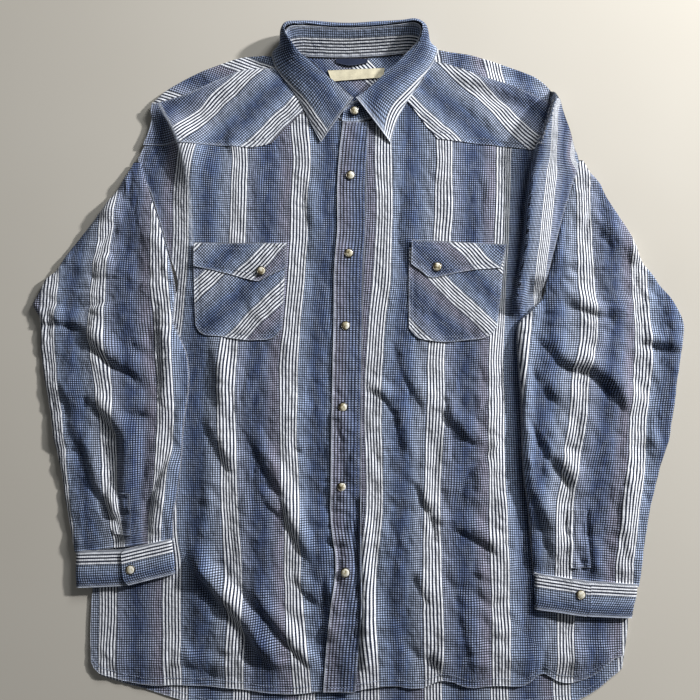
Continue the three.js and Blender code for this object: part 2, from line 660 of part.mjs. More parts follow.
// The fall's line: from the fold out and down to its edge, or turned in under the stand.
function fallLine(length, foldZ, edgeZ, tuck) {
  const open = [[0, foldZ], [length * 0.25, foldZ + 1.5], [length * 0.72, edgeZ + 7], [length, edgeZ]];
  const tucked = [[0, foldZ], [length * 1.25, foldZ], [length * 1.8, 0.6], [-length * 1.1 - 2, 1.2]];
  const handles = open.map(([d, z], i) => new THREE.Vector2(lerp(d, tucked[i][0], tuck), lerp(z, tucked[i][1], tuck)));
  return new THREE.CubicBezierCurve(...handles).getPoints(FALL_STEPS).map((p) => [p.x, p.y]);
}

const fallStations = FALL.map(([x, y, z, edgeX, edgeY, edgeZ, tuck]) => {
  const way = towards(x, y, edgeX, edgeY);
  return placed(way, fallLine(way.length, z, edgeZ, tuck));
});
addPiece("collar", ribbon(fallStations, INTERFACED), COLOURS.cloth);

// Snaps: a rolled metal rim and a domed cap inside it

function snap(name, x, y, z) {
  const rim = [
    [SNAP_CAP_RADIUS + GAP, 0], [SNAP_RIM_RADIUS, 0], [SNAP_RIM_RADIUS, SNAP_HEIGHT * 0.6],
    [SNAP_CAP_RADIUS + 0.7, SNAP_HEIGHT * 0.8], [SNAP_CAP_RADIUS + GAP, 0],
  ];
  const cap = [
    [0, 0], [SNAP_CAP_RADIUS, 0], [SNAP_CAP_RADIUS, SNAP_HEIGHT * 0.5], [SNAP_CAP_RADIUS * 0.6, SNAP_HEIGHT * 0.95],
    [0, SNAP_HEIGHT],
  ];
  const turned = (profile) => {
    const points = profile.map(([r, h]) => new THREE.Vector2(r, h));
    const lathe = new THREE.LatheGeometry(points, SNAP_SIDES);
    return toGeometry(toSolid(lathe.rotateX(Math.PI / 2)));
  };
  addPiece(`snap_rim_${name}`, turned(rim), COLOURS.rim, 0.35, 1).position.set(x, y, z);
  addPiece(`snap_cap_${name}`, turned(cap), COLOURS.cap, 0.3).position.set(x, y, z);
}

for (const [name, x, y, plies] of SNAPS) snap(name, x, y, FRONT_REST + plies * PLY);
const lappedTop = 3 * INTERFACED + CUFF_ROOM + GAP + GAP;
snap("cuff_right", -263, -242, OVER_FRONT + lappedTop);
snap("cuff_left", 256, -273, OVER_FRONT + lappedTop);
snap("stand", -4, 304, 7.9);

export default group;
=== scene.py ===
"""The looks of a striped western snap shirt, laid flat on its back with the sleeves beside the body.

Tables are in millimetres in the part's own frame: +X is the wearer's left, +Y runs from the hem to the collar
and +Z is up from the surface. Right and left are the wearer's. Meshes are built in metres.
"""
import json
import math

import bpy
import numpy as np
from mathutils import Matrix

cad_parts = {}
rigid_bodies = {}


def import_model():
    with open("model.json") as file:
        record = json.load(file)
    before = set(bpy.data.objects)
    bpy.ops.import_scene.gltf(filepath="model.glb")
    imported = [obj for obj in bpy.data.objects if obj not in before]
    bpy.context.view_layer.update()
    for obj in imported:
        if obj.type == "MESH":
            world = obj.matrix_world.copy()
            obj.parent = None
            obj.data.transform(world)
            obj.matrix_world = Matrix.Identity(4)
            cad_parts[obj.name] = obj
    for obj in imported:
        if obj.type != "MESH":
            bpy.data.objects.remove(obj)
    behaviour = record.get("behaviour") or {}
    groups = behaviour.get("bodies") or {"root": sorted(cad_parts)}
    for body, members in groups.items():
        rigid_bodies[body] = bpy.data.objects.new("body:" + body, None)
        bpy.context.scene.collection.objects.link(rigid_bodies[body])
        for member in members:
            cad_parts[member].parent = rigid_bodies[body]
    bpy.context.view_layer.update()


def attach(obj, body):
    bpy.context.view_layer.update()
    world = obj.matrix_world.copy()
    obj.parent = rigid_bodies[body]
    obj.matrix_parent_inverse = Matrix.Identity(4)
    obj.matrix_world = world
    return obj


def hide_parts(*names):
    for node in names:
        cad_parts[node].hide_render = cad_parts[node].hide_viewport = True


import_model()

MM = 0.001

# Camera: above the chest, leaning a little towards the collar, as the stripes' growing spacing shows
CAMERA_PLACE = (-9.6, -67.6, 877.3)
CAMERA_LEAN = 5.09
CAMERA_LENS = 37.75
SENSOR = 36

# Thickness of a layer of cloth and of the interfaced collar and cuffs, and what each layer below a piece adds
CLOTH = 1.0
INTERFACED = 1.6
PLY = 1.5
# Height of the fronts' underside, and of a sleeve's underside where it lies on them
FRONT_REST = 1.5
OVER_FRONT = 3.3
# Depth of a flattened sleeve, and the room inside a flattened cuff
SLEEVE_DEPTH = 6.0
CUFF_ROOM = 2.4

# Stripes: groups of fine white lines, and a shaded ground between them that comes in two versions
REPEAT = 73.8
LINE_PITCH = 3.6
LINES = 6
CHECK_PITCH = 2.65


# Curves and tables

def smooth(t):
    """Rises softly from 0 to 1 while t goes from 0 to 1."""
    u = np.clip(t, 0, 1)
    return u * u * (3 - 2 * u)


def bump(distance, half_width):
    """A soft bump that is 1 in the middle and 0 from the half-width on."""
    t = np.clip(np.abs(distance) / half_width, 0, 1)
    return (1 - t * t) ** 2


def curve_at(x, xs, ys):
    """The smooth curve through the points (xs, ys), xs rising, and its end values beyond them."""
    xs, ys = np.asarray(xs, float), np.asarray(ys, float)
    slope = np.gradient(ys, xs)
    i = np.clip(np.searchsorted(xs, x) - 1, 0, len(xs) - 2)
    h = xs[i + 1] - xs[i]
    t = np.clip((x - xs[i]) / h, 0, 1)
    start = (2 * t**3 - 3 * t**2 + 1) * ys[i] + (t**3 - 2 * t**2 + t) * h * slope[i]
    return start + (3 * t**2 - 2 * t**3) * ys[i + 1] + (t**3 - t**2) * h * slope[i + 1]


def column(table, y, k=1):
    """The value in column k of a table whose first column, y, falls from row to row."""
    rising = np.asarray(table, float)[::-1]
    return curve_at(y, rising[:, 0], rising[:, k])


def chord(points):
    """The distance along a row of points to each of them."""
    return np.concatenate([[0], np.cumsum(np.linalg.norm(np.diff(points, axis=0), axis=1))])


def at_shares(line, shares):
    """Points at given shares of the length of a row of close points."""
    s = chord(line)
    return np.stack([np.interp(np.asarray(shares) * s[-1], s, line[:, k]) for k in range(line.shape[1])], 1)


def curves_at(at, xs, table):
    """The smooth curves through the columns of a table, side by side."""
    return np.stack([curve_at(at, xs, table[:, k]) for k in range(table.shape[1])], 1)


def along(points, shares):
    """Points at given shares of the length of the smooth curve through a row of points."""
    p = np.asarray(points, float)
    s = chord(p)
    return at_shares(curves_at(np.linspace(0, s[-1], 16 * len(p)), s, p), shares)


def joined(*lines):
    """Curves put end to end, with a corner where each meets the next, as one row of close points."""
    parts = [along(line, np.linspace(0, 1, 40)) for line in lines]
    return np.concatenate([parts[0]] + [p[1:] for p in parts[1:]])


def smooth_rows(table, count):
    """A table with that many rows, on the smooth curve through its own rows."""
    t = np.asarray(table, float)
    return curves_at(np.linspace(0, len(t) - 1, count), np.arange(len(t)), t)


# Lines close to an edge, in mm from it: the rolled edge, and the groove that its stitches press in
EDGE_LINES = [0, 0.5, 1.7, 3.2, 4.4, 5.2, 6.0, 7.4, 9.4]


def shares_of(length, step):
    """Shares of a length, a step apart in the middle and close together along both edges."""
    near = np.array([e for e in EDGE_LINES if e < length * 0.32])
    count = max(2, int(round((length - 2 * near[-1]) / step)))
    middle = np.linspace(near[-1], length - near[-1], count + 1)[1:-1]
    return np.concatenate([near, middle, length - near[::-1]]) / length


def patch(left, right, top, bottom, step):
    """Points between four edges: left and right run down, and top and bottom run to the right."""
    high = max(chord(left)[-1], chord(right)[-1])
    wide = max(chord(top)[-1], chord(bottom)[-1])
    t, s = shares_of(high, step), shares_of(wide, step)
    le, ri = at_shares(left, t)[:, None], at_shares(right, t)[:, None]
    to, bo = at_shares(top, s)[None], at_shares(bottom, s)[None]
    s, t = s[None, :, None], t[:, None, None]
    corners = (1 - s) * (1 - t) * to[:, :1] + s * (1 - t) * to[:, -1:]
    corners = corners + (1 - s) * t * bo[:, :1] + s * t * bo[:, -1:]
    return (1 - s) * le + s * ri + (1 - t) * to + t * bo - corners


def beside(line, x, y):
    """Distance from a line, positive on its left side, and the distance along it of the nearest point."""
    best, side, where = np.full(x.shape, 1e9), np.ones(x.shape), np.zeros(x.shape)
    length = chord(line)
    for a, b, start in zip(line[:-1], line[1:], length[:-1]):
        d = b - a
        reach = math.hypot(*d)
        t = np.clip(((x - a[0]) * d[0] + (y - a[1]) * d[1]) / reach**2, 0, 1)
        dx, dy = x - a[0] - t * d[0], y - a[1] - t * d[1]
        gap = np.hypot(dx, dy)
        near = gap < best
        best[near] = gap[near]
        side[near] = np.where(d[0] * dy - d[1] * dx < 0, -1, 1)[near]
        where[near] = (start + t * reach)[near]
    return best * side, where


def mottle(x, y, size, seed, stretch=1):
    """Smooth noise from -1 to 1 in lumps of a size, stretched along Y."""
    lattice = np.random.default_rng(seed).uniform(-1, 1, (64, 64))
    gx, gy = x / size + 32, y / (size * stretch) + 32
    ix, iy = np.floor(gx).astype(int), np.floor(gy).astype(int)
    fx, fy = smooth(gx - ix), smooth(gy - iy)
    corner = lambda a, b: lattice[(ix + a) % 64, (iy + b) % 64]
    low = corner(0, 0) * (1 - fx) + corner(1, 0) * fx
    return low * (1 - fy) + (corner(0, 1) * (1 - fx) + corner(1, 1) * fx) * fy


def crumple(x, y, size, seed, stretch=1.3):
    """Wrinkles of a size, from 0 in their narrow valleys up to about 1 on the swells between."""
    bend_x = x + 0.4 * size * mottle(x, y, 1.2 * size, seed + 1)
    bend_y = y + 0.4 * size * mottle(x, y, 1.2 * size, seed + 2)
    return np.sqrt(mottle(bend_x, bend_y, size, seed, stretch) ** 2 + 0.003)


# Outlines, as [x, y]

ARMHOLE_RIGHT = [
    [-252, 312], [-254, 286], [-261, 261], [-268, 245], [-251, 200], [-236, 154],
    [-227, 125], [-217, 83], [-232, 60], [-262, 44],
]
SIDE_RIGHT = [[-262, 44], [-296, 35], [-302, -73], [-307, -190], [-309, -268], [-310, -316], [-308, -350]]
ARMHOLE_LEFT = [
    [246, 312], [250, 291], [259, 259], [267, 246], [258, 206], [245, 166],
    [237, 138], [227, 101], [221, 74], [236, 54], [262, 42],
]
SIDE_LEFT = [[262, 42], [288, 35], [296, -73], [306, -190], [312, -282], [312, -310], [306, -343]]
SHOULDER_SEAM_RIGHT = [[-252, 312], [-211, 325], [-176, 342], [-146, 355], [-104, 360], [-91, 361]]
SHOULDER_SEAM_LEFT = [[84, 369], [98, 369], [120, 363], [151, 349], [187, 337], [219, 323], [246, 312]]
SHOULDER_FOLD_RIGHT = [
    [-253, 314], [-238, 328], [-219, 341], [-196, 354], [-172, 364], [-151, 371], [-131, 375], [-105, 375],
    [-92, 372],
]
SHOULDER_FOLD_LEFT = [
    [82, 378], [95, 384], [113, 381], [140, 377], [162, 370], [183, 363], [205, 355], [220, 348], [235, 335],
    [247, 315],
]
NECK_RIGHT = [
    [-92, 361], [-90, 349], [-85, 339], [-79, 333], [-69, 324], [-57, 315], [-41, 305], [-25, 295],
    [-10, 290], [7, 289],
]
NECK_LEFT = [
    [7, 289], [20, 294], [36, 303], [47, 310], [59, 319], [67, 327], [75, 337], [81, 346], [84, 357],
    [84, 368],
]
BACK_NECK = [[-84, 374], [-70, 376], [-54, 376], [-15, 375], [25, 377], [62, 380], [76, 377]]
FRONT_HEM_RIGHT = [
    [-308, -350], [-303, -359], [-284, -367], [-248, -375], [-203, -376], [-177, -377], [-138, -380],
    [-108, -384], [-79, -386], [-41, -383], [-10, -383],
]
FRONT_HEM_LEFT = [
    [-10, -384], [38, -378], [73, -380], [94, -372], [109, -373], [120, -378], [161, -377], [193, -376],
    [213, -363], [229, -372], [243, -374], [259, -370], [276, -362], [288, -351], [299, -345], [306, -343],
]
BACK_TAIL = [
    [-306, -352], [-302, -362], [-275, -373], [-248, -380], [-211, -391], [-165, -402], [-102, -409],
    [-10, -414], [82, -409], [163, -404], [215, -398], [254, -393], [278, -380], [290, -370], [305, -358],
    [307, -343],
]
YOKE_EDGE_RIGHT = [
    [[-262, 262], [-221, 261], [-170, 262], [-121, 263], [-108, 267]], [[-108, 267], [-76, 302], [-61, 318]],
]
YOKE_EDGE_LEFT = [
    [[55, 317], [62, 309], [79, 287], [95, 268]], [[95, 268], [129, 264], [172, 260], [191, 258], [263, 252]],
]
BACK_YOKE_SEAM_Y = 238.6

# Pockets, flaps and slit strips, as their left, right, top and bottom edges
POCKET_RIGHT = (
    [[-198, 131], [-196, 80], [-194, 40]],
    [[-87, 131], [-88, 100], [-91, 36]],
    [[-198, 131], [-87, 131]],
    [[-194, 40], [-190, 33], [-160, 26], [-122, 22], [-97, 27], [-91, 36]],
)
POCKET_LEFT = (
    [[62, 133], [61, 80], [61, 36]],
    [[177, 129], [172, 81], [166, 38]],
    [[62, 133], [177, 129]],
    [[61, 36], [70, 26], [90, 21], [130, 22], [158, 28], [166, 38]],
)
FLAP_RIGHT = (
    [[-197, 139], [-197, 111]],
    [[-86, 139], [-87, 109]],
    [[-197, 139], [-86, 139]],
    joined(
        [[-197, 111], [-160, 103], [-125, 93.5]], [[-125, 93.5], [-119, 93], [-113, 96]],
        [[-113, 96], [-87, 109]],
    ),
)
FLAP_LEFT = (
    [[65, 143], [64, 114]],
    [[179, 137], [171, 109]],
    [[65, 143], [179, 137]],
    joined([[64, 114], [84, 98.5]], [[84, 98.5], [89, 97], [95, 98]], [[95, 98], [136, 106], [171, 109]]),
)
SLIT_RIGHT = (
    [[-287, -157], [-284, -204]], [[-265, -158], [-263, -206]], [[-287, -157], [-265, -158]],
    [[-284, -204], [-263, -206]],
)
SLIT_LEFT = (
    [[244, -177], [246, -243]], [[266, -178], [269, -243]], [[244, -177], [266, -178]],
    [[246, -243], [269, -243]],
)

# Edges of the placket, as [y, left x, right x], and how far its right edge passes the left front's edge
PLACKET = [
    [291, -18, 13], [267, -21, 12], [210, -25, 10], [152, -25, 9], [119, -28, 7], [46, -29, 5],
    [-58, -31, 4], [-151, -32, 3], [-190, -32, 3], [-239, -26, 3], [-283, -31, 4], [-339, -37, 0],
    [-383, -40, -4],
]
PLACKET_LAP = 6

# The shoulder crests, as [y, x, height]
CREST_RIGHT = [
    [312, -243, 3], [275, -223, 9], [240, -211, 9], [205, -205, 4], [150, -201, 2.2], [118, -199, 2],
    [57, -197, 2], [30, -197, 1.5], [8, -193, 2], [-40, -189, 0], [-90, -195, 0], [-150, -199, 0],
    [-200, -206, 0],
]
CREST_LEFT = [
    [316, 243, 18], [289, 234, 22], [260, 223, 20], [221, 213, 16], [192, 209, 15], [134, 203, 14],
    [88, 194, 12], [54, 186, 10], [16, 178, 6], [-49, 181, 0], [-143, 183, 0], [-175, 188, 0],
    [-245, 194, 0],
]

# Creases, as (depth of the valley, height of the lip on its left side, half-width, points along it)
FRONT_CREASES = [
    (4.0, 10.0, 8, [
        (-220, -203), (-208, -222), (-190, -249), (-166, -277), (-142, -301), (-125, -326), (-107, -348),
        (-81, -366),
    ]),
    (2.0, 3.8, 8, [(-204, -55), (-187, -75), (-172, -99), (-158, -125), (-141, -148)]),
    (3.0, 6.0, 7.5, [
        (-142, -78), (-125, -106), (-108, -136), (-92, -164), (-82, -196), (-66, -226), (-44, -256),
    ]),
    (1.8, 3.0, 7, [(-118, -153), (-106, -173), (-87, -189)]),
    (3.0, 5.5, 7, [(-137, -263), (-118, -284), (-104, -303), (-88, -323), (-69, -344), (-51, -368)]),
    (1.6, 3.0, 7, [(-82, -249), (-63, -274), (-40, -292)]),
    (1.8, 3.0, 8, [(-219, -352), (-186, -359), (-145, -374)]),
    (1.8, 3.4, 8, [(41, 27), (50, -11), (64, -42), (87, -71)]),
    (1.8, 3.0, 7, [(-5, -28), (17, -40), (35, -54), (47, -92), (52, -132)]),
    (2.3, 4.5, 8, [(92, -52), (111, -81), (130, -99), (156, -105)]),
    (2.2, 3.8, 8, [(182, -92), (155, -111), (136, -127), (124, -148), (120, -176)]),
    (1.6, 2.2, 7, [(179, -11), (156, -47), (127, -85)]),
    (2.0, 3.8, 8, [(59, -132), (72, -164), (86, -192), (93, -215)]),
    (2.3, 4.5, 8, [(100, -199), (123, -206), (147, -220), (167, -236)]),
    (1.8, 2.6, 7, [(165, -212), (184, -226), (204, -238)]),
    (1.6, 2.6, 7, [(60, -242), (69, -269), (85, -292)]),
    (2.0, 3.8, 8, [(76, -339), (94, -366), (107, -390)]),
    (1.8, 3.4, 8, [(169, -290), (191, -317), (216, -341)]),
    (1.8, 3.0, 9, [(113, -258), (115, -294), (124, -337), (132, -381)]),
    (5.5, 7.5, 6.5, [(0, -140), (-1, -235), (1, -281), (0, -337), (-3, -384)]),
    (3.0, 4.5, 7, [(-41, -246), (-38, -290), (-41, -334)]),
    (1.4, 2.6, 8, [(-179, 16), (-174, -32), (-168, -85), (-153, -132)]),
    (1.3, 2.2, 8, [(-191, -97), (-186, -143), (-182, -201)]),
    (1.4, 2.6, 8, [(-188, 34), (-178, 9), (-172, -22), (-168, -64)]),
    (1.4, 2.6, 8, [(236, -300), (244, -340), (240, -378)]),
    (1.1, 2.2, 8, [(-64, 225), (-66, 190), (-60, 150), (-66, 110)]),
    (0.9, 1.9, 7, [(-154, 290), (-163, 270), (-157, 246)]),
    (0.9, 1.7, 7, [(-128, 252), (-130, 215), (-126, 170)]),
    (1.1, 2.0, 8, [(45, 230), (52, 190), (48, 150), (54, 110)]),
    (0.9, 1.7, 7, [(140, 240), (150, 205), (146, 160)]),
    (0.9, 1.7, 8, [(110, 330), (140, 300), (172, 266)]),
]
SHOULDER_CREASES = [
    (0.0, 5.0, 9, [(250, 320), (222, 333), (190, 344), (150, 358), (110, 366)]),
    (0.0, 3.0, 9, [(-100, 360), (-146, 352), (-190, 338), (-240, 316)]),
]
SLEEVE_CREASES_RIGHT = [
    (3.0, 3.5, 9, [(-340, 42), (-332, 33), (-301, -2), (-282, -14), (-267, -23), (-250, -44)]),
    (2.6, 3.0, 8, [(-332, -42), (-300, -70), (-280, -97)]),
    (2.2, 3.5, 8, [(-239, 50), (-236, -14), (-234, -70)]),
    (1.8, 2.5, 7, [(-286, -69), (-260, -67), (-236, -69)]),
    (2.4, 3.0, 8, [(-390, 40), (-356, 40), (-326, 31)]),
    (2.4, 3.5, 8, [(-344, -84), (-327, -107), (-316, -142), (-304, -161), (-286, -185), (-270, -205)]),
    (2.8, 4.0, 9, [
        (-314, -52), (-296, -75), (-281, -97), (-281, -123), (-281, -148), (-274, -180), (-270, -216),
    ]),
    (2.0, 3.5, 8, [(-216, -102), (-230, -133), (-241, -164), (-251, -206)]),
    (1.2, 3.5, 11, [(-326, 112), (-298, 155), (-270, 196)]),
    (1.0, 2.5, 10, [(-366, 84), (-340, 100), (-300, 96), (-262, 104)]),
    (1.4, 2.5, 8, [(-358, -20), (-346, -60), (-340, -100)]),
]
SLEEVE_CREASES_LEFT = [
    (3.0, 4.0, 10, [(203, 36), (226, 8), (243, -10), (276, -21), (297, -39), (314, -61), (330, -78)]),
    (2.6, 4.0, 9, [(194, -50), (208, -90), (226, -123), (239, -137), (252, -176)]),
    (2.2, 3.5, 9, [(194, -140), (213, -197), (224, -231), (242, -243)]),
    (2.4, 3.0, 8, [(335, 19), (366, 11), (390, 4)]),
    (0.0, 4.5, 6, [(194, 66), (189, 0), (190, -70), (193, -140), (198, -190)]),
    (3.5, 1.5, 4, [(266, -168), (267, -192), (268, -220), (271, -256)]),
    (1.8, 3.0, 9, [(316, -120), (303, -170), (296, -214)]),
    (1.2, 4.0, 12, [(276, 180), (302, 140), (336, 104)]),
    (1.2, 2.5, 10, [(240, 88), (262, 60), (300, 48), (340, 52)]),
    (1.4, 2.5, 8, [(352, -36), (342, -80), (338, -120)]),
    (1.4, 2.5, 8, [(200, 0), (214, -30), (240, -62)]),
]

# Where the groups of white lines run, as [y, x of each group]
STRIPES_FRONT_RIGHT = [
    [318, -190, -150, -72], [275, -199, -147, -70], [248, -207, -144, -69], [215, -213, -145, -70],
    [144, -213, -146, -72], [-49, -226, -156, -82], [-167, -222, -150, -79],
    [-281, -217, -142, -75], [-379, -214, -142, -65],
]
STRIPES_FRONT_LEFT = [
    [320, 32, 105, 181, 252], [300, 32, 105, 181, 242], [276, 32, 105, 181, 239], [248, 32, 105, 180, 236],
    [218, 32, 104, 179, 233], [178, 32, 104, 177, 228], [144, 31, 102, 176, 224], [90, 28, 99, 172, 217],
    [-49, 17, 93, 163, 237], [-167, 21, 87, 164, 240], [-281, 11, 87, 165, 242], [-379, 14, 88, 164, 238],
]
STRIPES_SLEEVE_RIGHT = [
    [224, -352, -297, -243], [160, -362, -305, -241], [94, -367, -311, -237], [22, -372, -313, -231],
    [-50, -361, -300, -227], [-96, -353, -295, -228], [-166, -346, -288, -234], [-212, -340, -276, -240],
]
STRIPES_SLEEVE_LEFT = [
    [226, 206, 273, 336], [192, 206, 274, 338], [94, 202, 275, 339], [22, 192, 276, 340],
    [-26, 187, 262, 338], [-73, 184, 258, 331], [-120, 180, 249, 328], [-166, 174, 240, 320],
    [-240, 172, 238, 308],
]

# Stations down the sleeves, as [outer x, outer y, inner x, inner y]
SLEEVE_RIGHT = [
    [-273, 240, -266, 240], [-281, 224, -261, 224], [-292, 206, -255, 206], [-309, 182, -246.5, 182],
    [-328, 156, -238, 156], [-350, 128, -229.5, 128], [-363, 107, -224, 107], [-377, 93, -220.5, 90],
    [-383, 79, -219, 76], [-390, 65, -220, 62], [-382, 50, -221, 46], [-380, 33, -215, 30],
    [-379, 10, -205, 8], [-376, -12, -201, -14], [-370, -40, -201, -40], [-365, -64, -204, -62],
    [-360, -94, -206.5, -90], [-350, -132, -208, -124], [-344, -164, -211, -152], [-337, -196, -216, -184],
    [-330, -226, -216, -213],
]
SLEEVE_LEFT = [
    [275, 242, 268, 242], [283, 226, 263.4, 226], [295, 212, 260.3, 212], [308, 187, 252.4, 187],
    [328, 154, 242.6, 154], [342, 119, 233, 119], [353, 104, 229, 104], [364, 88, 225, 88],
    [377, 72, 221, 72], [386, 54, 206, 56], [390, 38, 192, 42], [387, 16, 189, 20], [381, -18, 190, -18],
    [377, -44, 192, -46], [371, -76, 192, -76], [367, -98, 192, -100], [358, -122, 192.5, -122],
    [351, -145, 194, -143], [344, -170, 197, -167], [337, -200, 199.5, -195], [331, -230, 201, -222],
    [325, -265, 203, -252],
]

# Cuffs, as their corners (x, y at the tab's side and at the far side, at the top and then at the bottom), the
# distance of the lapped end from the tab's side, and how far the cuff dips there
CUFF_RIGHT = ([-217, -210.4, -329, -224.4, -212, -250, -327, -266], 58, 5.5)
CUFF_LEFT = ([204, -249.4, 325, -262.4, 203, -290, 316, -300], 64, 2.5)
CUFF_LAP = 18

# Collar stand, as [seam x, y, z, top x, y, z]
STAND = [
    [8, 293, 3.4, 4, 316, 5], [-8, 292, 3.4, -8, 317, 5.5], [-24, 297, 3.2, -20, 328, 7],
    [-40, 305, 3, -34, 341, 9], [-56, 314, 3, -45, 350, 10.5], [-68, 323, 3, -55, 359, 12],
    [-78, 332, 3, -64, 366, 14.5], [-84, 338, 3, -71, 371, 16], [-89, 348, 3, -78, 378, 19.5],
    [-92, 358, 3, -83, 386, 22.5], [-91, 367, 2.8, -87.3, 396, 25.5], [-86, 374, 2.4, -82.3, 402, 25.2],
    [-70, 377, 2.4, -69, 404.3, 23.4], [-54, 376, 2.4, -54, 404.8, 21.4], [-15, 375, 2.4, -14, 403.3, 19.4],
    [25, 377, 2.4, 25, 404.8, 20.4], [48, 379, 2.4, 50, 406.3, 22.4], [64, 380, 2.4, 67, 407.2, 25.2],
    [76, 377, 2.5, 75.3, 402.8, 26.2], [81, 368, 2.8, 76, 395, 24], [83, 357, 3, 71, 384, 21],
    [80, 347, 3, 64, 377, 18], [74, 338, 3, 55, 369, 15], [66, 328, 3, 43, 357, 12.5],
    [58, 320, 3, 34, 348, 11], [46, 311, 3, 24, 339, 10], [35, 304, 3.2, 14, 330, 9],
    [19, 297, 3.9, 6, 322, 8], [4, 292, 5.6, -2, 317, 7.6], [-10, 290, 5.6, -9, 313, 7.2],
    [-19, 292, 5.6, -17, 306, 6.9],
]
# Collar fall, as [fold x, y, z, edge x, y, z, tuck]
FALL = [
    [-6, 319, 12, -45, 266, 5.7, 0], [-15, 327, 11.5, -51, 277, 5.7, 0], [-24, 335, 12, -57, 289, 5.7, 0],
    [-34, 343, 13, -66, 308, 5.7, 0], [-45, 352, 14, -76, 325, 5.7, 0], [-55, 361, 15, -87, 341, 5.7, 0],
    [-64, 368, 17.5, -97, 354, 5.7, 0], [-72, 373, 20, -104, 368, 5.7, 0], [-79, 381, 24, -104, 382, 5, 0],
    [-85, 389, 27, -100, 395, 3, 0.3], [-89, 398, 28, -94, 405, 2, 0.7], [-84, 404, 27, -87, 411, 1.2, 1],
    [-70, 406, 25, -71, 413, 1.2, 1], [-54, 406.5, 23, -54, 413.6, 1.2, 1], [-14, 405, 21, -14, 412, 1.2, 1],
    [25, 406.5, 22, 25, 413.6, 1.2, 1], [51, 408, 24, 52, 414, 1.2, 1], [68, 409, 27, 70, 414, 1.2, 1],
    [77, 404, 28, 83, 408, 2, 0.8], [78, 395, 27, 90, 398, 3, 0.4], [74, 384, 24, 96, 387, 5, 0],
    [66, 377, 20.5, 96, 374, 5.7, 0], [56, 369, 17.5, 90, 362, 5.7, 0], [44, 358, 15, 80, 348, 5.7, 0],
    [34, 349, 14, 71, 334, 5.7, 0], [24, 340, 13, 62, 319, 5.7, 0], [14, 331, 12, 53, 304, 5.7, 0],
    [5, 324, 11.5, 46, 287, 5.7, 0], [-2, 319, 12, 40, 264, 5.7, 0],
]

LABEL = ([[-37, 358], [-32, 344]], [[33, 361], [32, 349]], [[-37, 358], [33, 361]], [[-32, 344], [32, 349]])
LOOP = (
    [[-27, 373], [-27, 368]], [[12, 373], [12, 368]], [[-27, 373], [12, 373]],
    [[-27, 368], [-10, 364], [12, 368]],
)


# Form of the body

# Crests: what the heights in their tables are multiplied by, and the widths of their slopes. The right one
# slopes softly towards the middle and falls outwards. The left one is steep inwards and gentle outwards.
CREST_GROWTH_RIGHT = 1.5
CREST_GROWTH_LEFT = 1.2
CREST_SLOPE = 48
CREST_FALL = 20
CREST_STEEP = 6
CREST_GENTLE = 60
# Share of the left crest's height that the cloth beyond it keeps, and its lean inwards per mm of height
CREST_KEPT = 0.25
CREST_OVERHANG = 0.2
# Y at which the left crest ends, and how much farther up it ends beyond the sleeve's inner edge
CREST_END = 46
CREST_END_RISE = 30
SLEEVE_INNER_X = 195


def crests(x, y):
    """Height of the two shoulder folds, and how far the left one leans inwards over the cloth below."""
    right = x - column(CREST_RIGHT, y)
    tall = CREST_GROWTH_RIGHT * column(CREST_RIGHT, y, 2) * smooth((y + 20) / 60)
    shape = np.where(right > 0, bump(right, CREST_SLOPE), np.clip(1 + right / CREST_FALL, 0, 1))
    left = x - column(CREST_LEFT, y)
    end = CREST_END + CREST_END_RISE * np.clip((x - SLEEVE_INNER_X) / 10, 0, 1)
    tall_left = CREST_GROWTH_LEFT * column(CREST_LEFT, y, 2) * smooth((y - end) / 24)
    steep = smooth(1 + left / CREST_STEEP)
    shape_left = np.where(left < 0, steep, CREST_KEPT + (1 - CREST_KEPT) * bump(left, CREST_GENTLE))
    over = steep * bump(np.maximum(left, 0), 30)
    lean = -CREST_OVERHANG * tall_left * over
    return np.maximum(tall * shape, tall_left * shape_left), lean


# Width over which the crumple of the fronts fades where a sleeve lies on them, and where the sleeves stop
PRESSED = 26
SLEEVES_TOP = 62
SLEEVES_BOTTOM = -318


def sleeve_clear(x, y):
    """1 where the fronts are free and 0 where a sleeve lies on them."""
    right = smooth((x - column(CREST_RIGHT, y)) / PRESSED)
    left = smooth((column(CREST_LEFT, y) - x) / PRESSED)
    free = smooth(np.maximum((y - SLEEVES_TOP) / 14, (SLEEVES_BOTTOM - y) / PRESSED))
    return np.maximum(right * left, free)


# Share of a crease's length over which it dies out at each end
CREASE_END = 0.28
# Cloth hidden in a crease, per mm of its depth and lip, and how far beside it the stripes settle again
HIDDEN = 0.24
SETTLE = 24


def near_creases(creases, x, y):
    """Each crease with its line, the distance of each point from it and the crease's strength there."""
    for depth, lip, width, points in creases:
        line = along(points, np.linspace(0, 1, 24))
        d, where = beside(line, x, y)
        share = where / chord(line)[-1]
        yield depth, lip, width, line, d, smooth(np.minimum(share, 1 - share) / CREASE_END)


def creased(creases, x, y):
    """Height of the creases at a point: a crisp valley with a soft lip on its left."""
    total = np.zeros(x.shape)
    for depth, lip, width, _, d, taper in near_creases(creases, x, y):
        valley = np.clip(1 - np.abs(d) / width, 0, 1) ** 2
        total += taper * (lip * bump(d - 1.3 * width, 2 * width) - depth * valley)
    return total


def tucked(creases, x, y):
    """How far the cloth's own coordinates are moved by the cloth that is hidden in the creases."""
    move = np.zeros(x.shape + (2,))
    for depth, lip, _, line, d, taper in near_creases(creases, x, y):
        way = (line[-1] - line[0]) / np.linalg.norm(line[-1] - line[0])
        amount = HIDDEN * (depth + lip) * taper * np.tanh(d / 2.5) * np.exp(-np.abs(d) / SETTLE)
        move += amount[..., None] * np.array([-way[1], way[0]])
    return move


def above_zero(value):
    """The value where it's well above zero, easing to nothing where it falls below."""
    return (value + np.sqrt(value**2 + 0.5**2)) / 2


# Half the body's width, and its hem
BODY_HALF = 309
HEM_Y = -372


